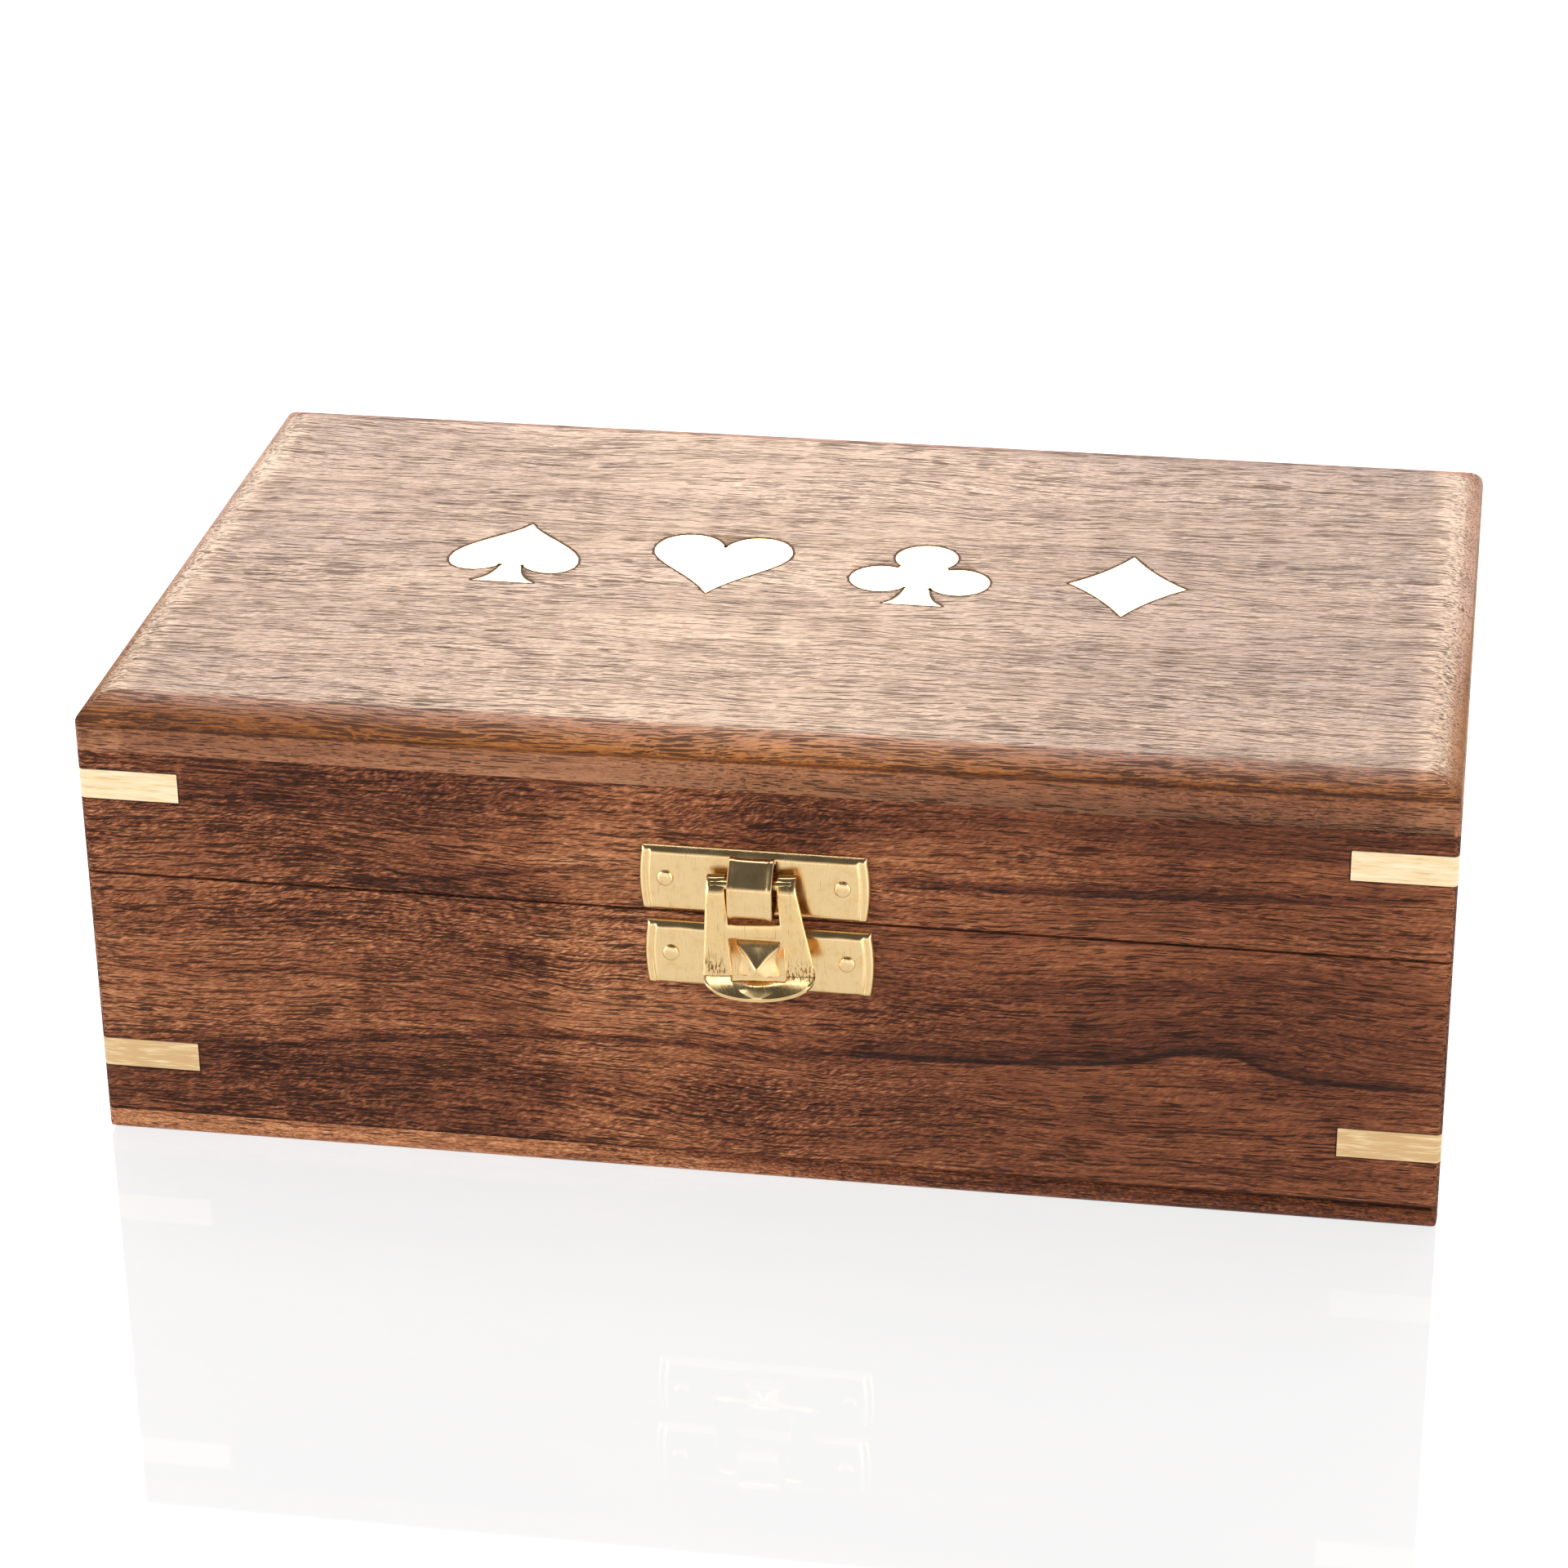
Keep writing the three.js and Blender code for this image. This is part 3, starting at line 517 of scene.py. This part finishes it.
def front_patches(g, place):
    """The front board is lightest left of its middle, and darker to the right and under the lid's panel."""
    x, z = place[0], place[2]
    side_to_side = g.curve(along_width(g, x), [
        (0, 0.68), (0.1, 0.58), (0.25, 0.5), (0.31, 0.48), (0.36, 0.66), (0.4, 0.72), (0.48, 0.58), (0.6, 0.38),
        (0.8, 0.36), (0.93, 0.38), (1, 0.52)])
    top_band = g.fit(z, 66.0, 73.0, 0.0, -0.08)
    upper_left = g.times(g.fit(z, 52.0, 60.0), g.fit(x, -60.0, -45.0, -0.1, 0.0))
    right_of_latch = g.times(g.fit(x, 5.0, 20.0), g.fit(x, 40.0, 75.0, 1.0, 0.25))
    by_latch = g.times(g.fit(z, 50.0, 56.0, 0.0, 0.16), right_of_latch)
    low_left = g.times(g.fit(z, 16.0, 28.0, -0.15, 0.0), g.fit(x, -10.0, 20.0, 1.0, 0.0))
    # Painted shade on the rims of the gap between lid and base, and a dark line along the bottom board's joint, on
    # the outer face only.
    from_seam = g.math("ABSOLUTE", g.math("SUBTRACT", z, SEAM))
    seam_shade_and_joint_line = g.math("ADD", g.fit(from_seam, 0.15, 0.35, -0.3, 0.0), g.fit(z, 4.6, 5.1, -0.3, 0.0))
    seam_shade_and_joint_line = g.times(seam_shade_and_joint_line, outside(g, place, 0))
    return g.total(g.math("MULTIPLY_ADD", side_to_side, 0.7, -0.385), top_band, upper_left, by_latch, low_left,
                   seam_shade_and_joint_line, long_glue(g, place))


def front_calm(g, place):
    """The ripple is faint on the right of the front board."""
    return g.fit(place[0], 0.0, 60.0, 1.0, 0.45)


def front_dense(g, place):
    """More pores show on the left of the front board."""
    return g.fit(place[0], -HALF_WIDTH, 40.0, 0.35, 0.0)


def rounding(g, place):
    """Where the panel's long and short edges are rounded over, each from 0 to 1."""
    x, y = (g.math("ABSOLUTE", value) for value in place[:2])
    return g.fit(y, HALF_DEPTH - 7.2, HALF_DEPTH - 5.8), g.fit(x, HALF_WIDTH - 4.0, HALF_WIDTH - 1.8)


def above_vein(g, place):
    """How far a point is above the dark vein along the panel's front edge, in millimetres."""
    return g.math("SUBTRACT", place[2], g.fit(place[0], -HALF_WIDTH, HALF_WIDTH, 81.6, 83.2, smooth=False))


def top_patches(g, place):
    """The panel's front edge shows a dark vein, with paler wood below it, and the ends of its top are painted paler,
    as if catching light from the sides.
    """
    x, y, z = place
    above = above_vein(g, place)
    on_edge = g.fit(y, -70.0, -68.5, 1.0, 0.0)
    dark = g.times(g.fit(above, -0.3, 0.0), g.fit(above, 0.0, 0.8, -0.34, 0.0))
    pale = g.math("ADD", g.fit(above, -0.3, -0.1, 0.07, 0.0), g.fit(z, 77.0, 80.5, 0.16, 0.0))
    from_middle = g.math("ABSOLUTE", x)
    # Painted highlight: the ends of the top are lightened where their rounding catches the light, and a little less
    # further down the end rounding.
    lit_ends = g.times(g.fit(from_middle, 110.0, 113.5), g.fit(from_middle, 116.5, 118.0, 0.2, 0.12))
    broad = g.curve(along_width(g, x), [
        (0, 0.42), (0.2, 0.5), (0.42, 0.64), (0.6, 0.56), (0.75, 0.4), (1, 0.38)])
    long_edge = rounding(g, place)[0]
    band = g.times(g.times(long_edge, g.fit(above, 0.5, 1.0)), g.fit(x, -80.0, 90.0, -0.03, 0.07))
    return g.total(g.times(on_edge, g.math("ADD", dark, pale)), lit_ends, band,
                   g.math("MULTIPLY_ADD", broad, 0.6, -0.3))


def top_dense(g, place):
    """More pores show where the rounding cuts across them, and fewer on the upright edge below the vein."""
    return g.times(rounding(g, place)[0], g.fit(above_vein(g, place), 0.0, 0.8, -0.3, 0.3))


def top_shade(g, place, colour):
    """The rounded edges show more of the wood's own orange brown than the flat top does."""
    long_edge, short_edge = rounding(g, place)
    tints = srgb(222, 170, 104), srgb(212, 170, 146), srgb(240, 206, 168)
    rounded, upright, ends = (g.mix(1.0, colour, tint, "MULTIPLY") for tint in tints)
    colour = g.mix(short_edge, colour, ends)
    return g.mix(long_edge, colour, g.mix(g.fit(above_vein(g, place), -0.8, 0.2), upright, rounded))


def bottom_patches(g, place):
    """The bottom board is paler to the left and darker to the right."""
    return g.fit(place[0], -110.0, 90.0, 0.12, -0.16)


front_wood = wood("front_wood", "x", 1.0, FRONT_VEINS, tone=0.03, patches=front_patches, dense=front_dense,
                  calm=front_calm, figure=0.6, rippled=0.42, lines=0.85)
side_wood = wood("side_wood", "y", 2.0, tone=-0.1, patches=short_glue)
back_wood = wood("back_wood", "x", 3.0, tone=-0.1, patches=long_glue)
top_wood = wood("top_wood", "top", 4.0, tone=0.12, patches=top_patches, shade=top_shade, dense=top_dense,
                crowding=1.15, roughness=0.38, gloss=0.3, figure=0.4, rippled=0.24, lines=0.8, slim=0.8,
                pore=srgb(60, 36, 24), palette=PALE_WALNUT)
bottom_wood = wood("bottom_wood", "top", 5.0, tone=0.1, patches=bottom_patches, crowding=0.8)
rack_wood = wood("rack_wood", "y", 6.0, tone=0.1)
key_wood = pale_wood()
filler = filler_paste()
BRASS, OLD_BRASS = srgb(240, 208, 154), srgb(238, 205, 148)
brass = polished_brass("brass", BRASS, 0.2)
worn_brass = polished_brass("worn_brass", OLD_BRASS, 0.2, scratches=0.6)
hasp_brass = polished_brass("hasp_brass", OLD_BRASS, 0.2, scratches=0.6, worn=leg_wear)
felt = green_felt()


# ---- Boards, keys and hinges ---------------------------------------------------------------------
WALL_EASE = 0.06
for part in ("base", "lid"):
    refined(f"{part}_front_wall", front_wood, WALL_EASE)
    refined(f"{part}_back_wall", back_wood, WALL_EASE)
    for side in ("left", "right"):
        refined(f"{part}_{side}_wall", side_wood, WALL_EASE)
refined("lid_top_panel", top_wood, 0.0, sharp=32.0)
refined("base_bottom_panel", bottom_wood, 0.0, sharp=32.0)
for name in nodes_with("chip_rack") + nodes_with("divider"):
    refined(name, rack_wood, 0.3, shortest=10.0)
for name in nodes_with("_key_"):
    refined(name, key_wood, 0.08)
for name in nodes_with("hinge_"):
    refined(name, worn_brass, 0.1 if "leaf" in name else 0.0)
for name in nodes_with("_nail_"):
    refined(name, brass, 0.0, sharp=60.0)
for name in nodes_with("inlay_"):
    slots = frame["nodes"][name].data.materials
    slots.clear()
    slots.append(brass)

# ---- Latch ---------------------------------------------------------------------------------------
PLATE_HALF, PLATE_TALL, PLATE_BULGE = 19.7, 6.3, 0.6  # half width, half height, and how far the ends bow out
# A plate's face: how far it stands out at each distance from its ends and from its long sides.
PLATE_END = [(0.0, 0.0), (0.12, 0.5), (0.35, 0.85), (0.7, 1.05), (1.3, 1.05), (1.5, 0.92), (1.8, 1.15),
             (2.0, 1.27), (2.3, 1.3)]
PLATE_SIDE = [(0.0, 0.0), (0.12, 0.36), (0.34, 0.68), (0.62, 0.94), (0.92, 1.14), (1.2, 1.26), (1.45, 1.3)]
LATCH, CATCH = (0.25, 59.7), (0.95, 45.1)  # the middles of the lid's and the base's plate, in X and Z
HASP_AT, HASP_LEAN = (0.25, 3.4, 60.9), math.radians(3.5)  # the bar's middle, as X, out and Z, and its tilt
LOOP_HALF, LOOP_SLOT = 3.9, (-4.0, 4.1)  # the loop's half width, and the slot that it is bent out of


def standing(middle, across, out, up):
    """A point beside a plate's middle: across and up from it, and out from the case's front face."""
    return middle[0] + across, -HALF_DEPTH - out, middle[1] + up


def pressed_plate(middle, slot=None):
    """A brass plate with bowed ends, bevelled long edges and a pressed border at each end."""
    dent_depth, dented_from, foot, thinnest = 0.035, 1.2, 0.1, 0.12
    ends = [d for d, _ in PLATE_END]
    sides = [d for d, _ in PLATE_SIDE]
    inner = between(PLATE_HALF - 3.0, LOOP_HALF, 12)
    half_row = [PLATE_HALF - d for d in ends] + inner + [2.6, 1.3]
    across = [-u for u in half_row] + [0.0] + half_row[::-1]
    tall = [PLATE_TALL - d for d in sides] + [LOOP_SLOT[1], 2.7, 1.35]
    low = [PLATE_TALL - d for d in sides] + [-LOOP_SLOT[0], 2.7, 1.35]
    up = [-v for v in low] + [0.0] + tall[::-1]
    front, back = [], []
    for v in up:
        bow = PLATE_BULGE * (1 - (v / PLATE_TALL) ** 2)
        row = []
        for u in across:
            rise = min(graded(PLATE_HALF - abs(u), PLATE_END), graded(PLATE_TALL - abs(v), PLATE_SIDE))
            dent = dent_depth * math.sin(0.9 * u + 1.3 * middle[0]) * math.sin(0.7 * v + middle[1])
            row.append((u * (1 + bow / PLATE_HALF), max(rise + dent * (rise > dented_from), thinnest), v))
        front.append([standing(middle, *point) for point in row])
        back.append([standing(middle, u, foot, v) for u, _, v in row])

    def solid(r, c):
        u, v = (across[c] + across[c + 1]) / 2, (up[r] + up[r + 1]) / 2
        return not (slot and abs(u) < LOOP_HALF and slot[0] < v < slot[1])
    return slab(front, back, solid)


def loop():
    """The tongue bent out of the lid's plate and rolled back round the hasp's bar, with flared edges."""
    thick, narrower = 0.7, 0.995
    path = [(0.4, 4.35), (0.9, 4.95), (1.5, 5.45), (2.2, 5.75), (2.9, 5.7), (3.4, 5.35), (4.2, 4.3),
            (5.1, 3.12), (5.9, 2.07), (6.15, 1.65), (6.25, 1.2), (6.2, 0.0), (6.1, -1.5), (5.98, -3.1),
            (5.8, -3.8), (5.35, -4.4), (4.6, -4.8), (3.4, -4.95), (2.2, -4.9), (1.2, -4.7), (0.4, -4.35)]
    flare = [(-LOOP_HALF, 0.02), (-3.78, 0.16), (-3.5, 0.2), (-3.1, 0.08), (-2.6, 0.0), (-1.3, -0.05),
             (0.0, -0.06)]
    flare += [(-u, rise) for u, rise in flare[-2::-1]]
    front, back = [], []
    for i, (out, up) in enumerate(path):
        before, after = Vector(path[max(i - 1, 0)]), Vector(path[min(i + 1, len(path) - 1)])
        run = (after - before).normalized()
        outward = Vector((-run[1], run[0]))
        if i in (0, len(path) - 1):
            outward = Vector((0.0, 1.0 if i == 0 else -1.0))
        inside = (out - outward[0] * thick, up - outward[1] * thick)
        front.append([standing(LATCH, u, out + outward[0] * rise, up + outward[1] * rise) for u, rise in flare])
        back.append([standing(LATCH, u * narrower, *inside) for u, _ in flare])
    return slab(front, back)


def stud():
    """The nose on the base's plate that fills the hasp's window: ridges run from its point to its corners."""
    half, pulled_in, nose, ridge, unbounded = 4.0, 0.75, 4.35, 0.14, 9.0
    top, shoulder, point, low, foot = 4.1, 3.0, -0.55, -2.2, -2.95
    profile = [(foot, 0.8), (-2.82, 1.9), (-2.6, 2.5), (low, 2.95), (shoulder, unbounded), (3.25, 2.1),
               (3.7, 1.7), (3.95, 1.3), (top, 0.8)]
    rows = [foot, -2.89, -2.82, -2.72, -2.6, -2.47, -2.33, low] + between(-2.1, 2.9, 32)
    rows += [shoulder, 3.1, 3.25, 3.4, 3.6, 3.8, 3.95, top]
    columns = between(-1.0, 1.0, 36)
    front, back = [], []
    for v in rows:
        share = (v - point) / (shoulder - point)
        upper = nose - 2.3 * share
        lower = nose + 1.65 * share
        edge = 1.95 + 0.1 * max(share, 0.0) + 0.4 * min(share, 0.0)
        waist = half - pulled_in * math.sin(math.pi * (top - v) / (top - foot)) ** 2
        row = []
        for u in columns:
            side = nose + (edge - nose) * abs(u) ** 0.9
            dish = 0.22 * math.sin(math.pi * min(max(share, 0.0), 1.0)) * (1 - abs(u)) ** 2
            heights = [upper - dish, lower, side]
            end = graded(v, profile) if v < low or v > shoulder else unbounded
            rounded = -math.log(sum(math.exp(-h / ridge) for h in heights)) * ridge
            brim = 0.9 * max(0.0, (abs(u) - 0.93) / 0.07) ** 2
            row.append((waist * u, max(min(rounded, end) - brim, 0.85), v))
        front.append([standing(CATCH, *place) for place in row])
        back.append([standing(CATCH, u, 0.6, v) for u, _, v in row])
    return slab(front, back)


def hung(across, out, up):
    """A point given about the hasp's bar, swung sideways by the hasp's lean."""
    x = across * math.cos(HASP_LEAN) - up * math.sin(HASP_LEAN)
    z = across * math.sin(HASP_LEAN) + up * math.cos(HASP_LEAN)
    return HASP_AT[0] + x, -HALF_DEPTH - HASP_AT[1] - out, HASP_AT[2] + z


def hasp():
    """Two legs with ears on a bar, a crossbar, a window for the stud, and a round lip for the fingertip."""
    slot_end, window_top, bend = -6.9, -9.4, -16.5
    top_half, low_half, bend_out = 7.8, 9.9, 2.3
    leg_thick, lip_thick, lip_sag = 1.05, 0.3, 0.75
    lip_out, lip_drop, skew, window_share = 3.7, 2.6, 0.5, 0.2
    window_low = bend - lip_drop * window_share
    scoop = [(0.0, 0.0), (0.62, 0.8), (0.74, 1.2), (0.88, 1.95), (1.0, 2.6)]
    heights = [1.5, 1.35, 0.9, 0.35, -0.2, -0.8, -1.1, -2.0, -4.0, -6.5, slot_end, slot_end - 0.3, -8.15,
               window_top + 0.3, window_top, -11.5, -14.0, -16.2, bend]
    face = [(bend, bend_out), (-2.6, 1.72), (-1.1, 1.66), (-0.8, 1.6), (-0.2, 1.35), (0.35, 0.95), (0.9, 0.5),
            (1.35, 0.1), (1.5, -0.1)]
    # Each row: its distance out and up, its thickness, half its width, and how far its inner points draw together.
    rows = [(graded(up, face), up, leg_thick, top_half + (low_half - top_half) * max(-up, 0.0) / -bend, 1.0)
            for up in heights]
    lip = [0.05, 0.14, window_share, 0.25, 0.3, 0.36, 0.44, 0.52, 0.6, 0.68, 0.76, 0.83, 0.89, 0.94, 0.975,
           0.995]
    for share in lip:
        swell = math.sqrt(1 - share ** 2)
        rows.append((bend_out + lip_out * share + 0.25 * math.sin(math.pi * share), bend - lip_drop * share,
                     lip_thick, low_half * swell, swell ** 1.5))
    front, back = [], []
    for out, up, thick, half, shrink in rows:
        inner = (4.6 if up > window_top else 4.8) * shrink
        stops = [half, half - 0.3 * shrink, half - 0.7 * shrink, (half + inner) / 2, inner + 0.3 * shrink,
                 inner, inner * 0.66, inner * 0.33]
        across = [-u for u in stops] + [0.0] + stops[::-1]
        leaning = up < bend
        raised = bend - graded((bend - up) / lip_drop, scoop) - up if leaning else 0.0
        on_front, on_back = [], []
        for u in across:
            slide = u + skew * max(-up, 0.0) / -bend
            height = up + raised * graded(abs(u) / inner, [(0.5, 1.0), (1.15, 0.0)])
            crown = 0.0 if leaning else 0.12 * math.sin(math.pi * (abs(u) - inner) / max(half - inner, 0.1))
            worn = max(crown, 0.0) if abs(u) > inner else 0.0
            on_front.append(hung(slide, out + worn, height))
            on_back.append(hung(slide * 0.985, out - thick, height - (lip_sag if leaning else 0.0)))
        front.append(on_front)
        back.append(on_back)

    def solid(r, c):
        middle_up = (rows[r][1] + rows[r + 1][1]) / 2
        between_legs = 5 <= c <= 10
        return not (between_legs and (middle_up > slot_end or window_low < middle_up < window_top))
    return slab(front, back, solid, ease=0.16)


def bar():
    """The hasp's bar, which passes through the loop."""
    turns = between(0.0, 2 * math.pi, 20)[:-1]
    half = [(4.6, 1.02), (4.9, 1.1), (7.0, 1.1), (7.2, 0.9)]
    return tube([[hung(across, radius * math.cos(t), radius * math.sin(t)) for t in turns]
                 for across, radius in [(-across, radius) for across, radius in half[::-1]] + half])


piece("latch_plate_finished", "lid", brass, "latch_brass", ["latch_plate"],
      pressed_plate(LATCH, LOOP_SLOT), loop())
piece("catch_plate_finished", "base", brass, "latch_brass", ["catch_plate"], pressed_plate(CATCH), stud())
piece("hasp_finished", "hasp", hasp_brass, "latch_brass", ["hasp"], hasp(), bar())


# ---- Inlay filler --------------------------------------------------------------------------------
def top_outline(node):
    """The outline of a CAD node's top face, in order, in millimetres."""
    shape = welded(node)
    near_top = max(vertex.co.z for vertex in shape.verts) - 0.1 * MM
    top = {face for face in shape.faces if face.normal.z > 0.9 and face.calc_center_median().z > near_top}
    follows = {}
    for face in top:
        for corner in face.loops:
            if not set(corner.edge.link_faces) <= top:
                follows[corner.vert.index] = corner.link_loop_next.vert
    place, order = min(follows), []
    for _ in follows:
        vertex = follows[place]
        order.append(Vector((vertex.co.x, vertex.co.y)) / MM)
        place = vertex.index
    shape.free()
    return order


def spaced(outline, step):
    """The same closed outline with points about one step apart."""
    points = []
    for a, b in zip(outline, outline[1:] + outline[:1]):
        count = max(1, round((b - a).length / step))
        points += [a + (b - a) * i / count for i in range(count)]
    return points


def filler_ring(node, seed):
    """Dark paste between an inlay and the wood, with a ragged outer edge, a hair above the surface."""
    top, bottom, width = TOP + 0.012, TOP - 0.8, 0.5
    outline = spaced(top_outline(node), 0.3)
    count = len(outline)
    inner, outer = [], []
    for i, point in enumerate(outline):
        run = (outline[(i + 1) % count] - outline[i - 1]).normalized()
        outward = Vector((run[1], -run[0]))
        ragged = noise.noise(Vector((point[0] * 0.9, point[1] * 0.9, seed)))
        rough_edge = noise.noise(Vector((point[0] * 3.1, point[1] * 3.1, seed + 9.0)))
        inner.append(point + outward * 0.02)
        outer.append(point + outward * (width + 0.3 * ragged + 0.2 * rough_edge))
    front = [[(*p, top) for p in ring + ring[:1]] for ring in (inner, outer)]
    back = [[(*p, bottom) for p in ring + ring[:1]] for ring in (inner, outer)]
    return slab(front, back)


for seed, name in enumerate(nodes_with("inlay_")):
    piece(f"{name}_filler", "lid", filler, "inlay_brass", [], filler_ring(name, seed * 17.0))


# ---- Felt ----------------------------------------------------------------------------------------
FELT_THICK = 0.9
GLUED, INSET = 0.02, 0.1  # the gaps between the felt and its board, and from the felt's edge to its well's


def nap(x, y, z):
    """How far the felt's surface strays from even, in millimetres."""
    place = Vector((x, y, z))
    return 0.09 * noise.noise(place * 0.11) + 0.05 * noise.noise(place * 0.6)


def flat_felt(node, down):
    """A felt panel laid flat on a board, or glued up under one."""
    (x0, y0, z0), (x1, y1, z1) = (tuple(corner / MM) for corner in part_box(node))
    xs, ys = (between(a + INSET, b - INSET, max(8, round((b - a) / 2.5))) for a, b in ((x0, x1), (y0, y1)))
    rows_front, rows_back = [], []
    for y in ys:
        front, back = [], []
        for x in xs:
            edge = min(x - xs[0], xs[-1] - x, y - ys[0], ys[-1] - y)
            thick = FELT_THICK - 0.25 * max(0.0, 1 - edge / 1.2) + nap(x, y, 0.0)
            base, face = (z1 - GLUED, z1 - thick) if down else (z0 + GLUED, z0 + thick)
            front.append((x, y, face))
            back.append((x, y, base))
        rows_front.append(front)
        rows_back.append(back)
    return slab(rows_front, rows_back)


def trough_felt(node):
    """A felt strip pressed into a round trough."""
    (x0, y0, z0), (x1, y1, z1) = (tuple(corner / MM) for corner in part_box(node))
    middle, radius, trough_facets = (x0 + x1) / 2, (x1 - x0) / 2, 32
    turns = between(math.pi, 2 * math.pi, 26)
    rows_front, rows_back = [], []
    for y in between(y0 + INSET, y1 - INSET, 44):
        front, back = [], []
        for turn in turns:
            x, z = math.cos(turn), math.sin(turn)
            inside = radius - FELT_THICK - nap(middle + radius * x, y, radius * z)
            outside = radius * math.cos(math.pi / trough_facets) - 0.03
            front.append((middle + inside * x, y, z1 + inside * z))
            back.append((middle + outside * x, y, z1 + outside * z))
        rows_front.append(front)
        rows_back.append(back)
    return slab(rows_front, rows_back)


for side in ("left", "right"):
    for number in (1, 2):
        name = f"trough_felt_{side}_{number}"
        lining = piece(f"{name}_sheet", "base", felt, "felt", [name], trough_felt(name), sharp=70.0)
for name, flat, rests_on, down in (("card_well_felt", (0.038, 0.092), "base_bottom_panel", False),
                                   ("dice_well_felt", (0.038, 0.028), "base_bottom_panel", False),
                                   ("lid_felt", (0.220, 0.123), "lid_top_panel", True)):
    body = frame["nodes"][name]["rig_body"]
    lining = piece(f"{name}_sheet", body, felt, "felt", [name], flat_felt(name, down), sharp=70.0)


# ---- Floor, light and camera ---------------------------------------------------------------------
def floor():
    """A glossy white floor, a hair below the case."""
    bpy.ops.mesh.primitive_plane_add(size=8.0, location=(0, 0, -0.0002))
    plane = bpy.context.object
    plane.name = "floor"
    g = Graph("floor_white")
    white, grey = (1, 1, 1, 1), (0.12, 0.12, 0.12, 1)
    plane.data.materials.append(g.finish(grey, Roughness=0.03, Specular_IOR_Level=0.4, Emission_Color=white,
                                         Emission_Strength=0.79))


def softbox(name, place, aim, width, height, power):
    """A soft light of a size in metres, aimed at a point, with its power in watts."""
    data = bpy.data.lights.new(name, "AREA")
    data.shape = "RECTANGLE"
    data.size, data.size_y, data.energy = width, height, power
    light = bpy.data.objects.new(name, data)
    bpy.context.scene.collection.objects.link(light)
    light.location = place
    light.rotation_euler = (Vector(aim) - Vector(place)).to_track_quat("-Z", "Y").to_euler()


def sky():
    """A pale room that is dark overhead in front of the case, where the photographer stands."""
    world = bpy.data.worlds.new("room")
    bpy.context.scene.world = world
    world.use_nodes = True
    tree = world.node_tree
    way = tree.nodes.new("ShaderNodeTexCoord").outputs["Generated"]
    nearness = tree.nodes.new("ShaderNodeVectorMath")
    nearness.operation = "DOT_PRODUCT"
    nearness.inputs[1].default_value = Vector((-0.1, -0.45, 0.88)).normalized()
    tree.links.new(way, nearness.inputs[0])
    strength = tree.nodes.new("ShaderNodeMapRange")
    strength.interpolation_type = "SMOOTHSTEP"
    tree.links.new(nearness.outputs["Value"], strength.inputs["Value"])
    for socket, value in (("From Min", 0.6), ("From Max", 0.85), ("To Min", 1.0), ("To Max", 0.1)):
        strength.inputs[socket].default_value = value
    background = tree.nodes["Background"]
    background.inputs["Color"].default_value = (1, 1, 1, 1)
    tree.links.new(strength.outputs["Result"], background.inputs["Strength"])


def camera():
    """A long lens from the front, a little to the right and above, and turned a little about its own axis."""
    target, distance = Vector((-6.6, 0.0, 42.8)) * MM, 838.7 * MM
    azimuth, elevation, roll = (math.radians(value) for value in (9.67, 26.52, -0.71))
    back = Vector((math.sin(azimuth) * math.cos(elevation), -math.cos(azimuth) * math.cos(elevation),
                   math.sin(elevation)))
    right = (-back).cross(Vector((0, 0, 1))).normalized()
    up = right.cross(-back)
    tilted_right = right * math.cos(roll) + up * math.sin(roll)
    tilted_up = up * math.cos(roll) - right * math.sin(roll)
    data = bpy.data.cameras.new("camera")
    data.lens, data.sensor_width = 102.1, 36.0  # in millimetres
    eye = bpy.data.objects.new("camera", data)
    bpy.context.scene.collection.objects.link(eye)
    axes = Matrix((tilted_right, tilted_up, back)).transposed().to_4x4()
    eye.matrix_world = Matrix.Translation(target + back * distance) @ axes
    bpy.context.scene.camera = eye


floor()
sky()
softbox("back_softbox", (-0.15, 1.6, 0.85), (0, 0, 0.05), 2.0, 0.9, 26)
softbox("top_softbox", (-0.1, 0.35, 1.5), (0, 0, 0), 1.2, 0.9, 14)
softbox("left_softbox", (-1.2, -0.9, 0.5), (0, 0, 0.05), 0.8, 0.8, 9)
softbox("right_softbox", (1.2, -0.9, 0.5), (0, 0, 0.05), 0.8, 0.8, 7)
camera()
bpy.context.scene.view_settings.view_transform = "Standard"
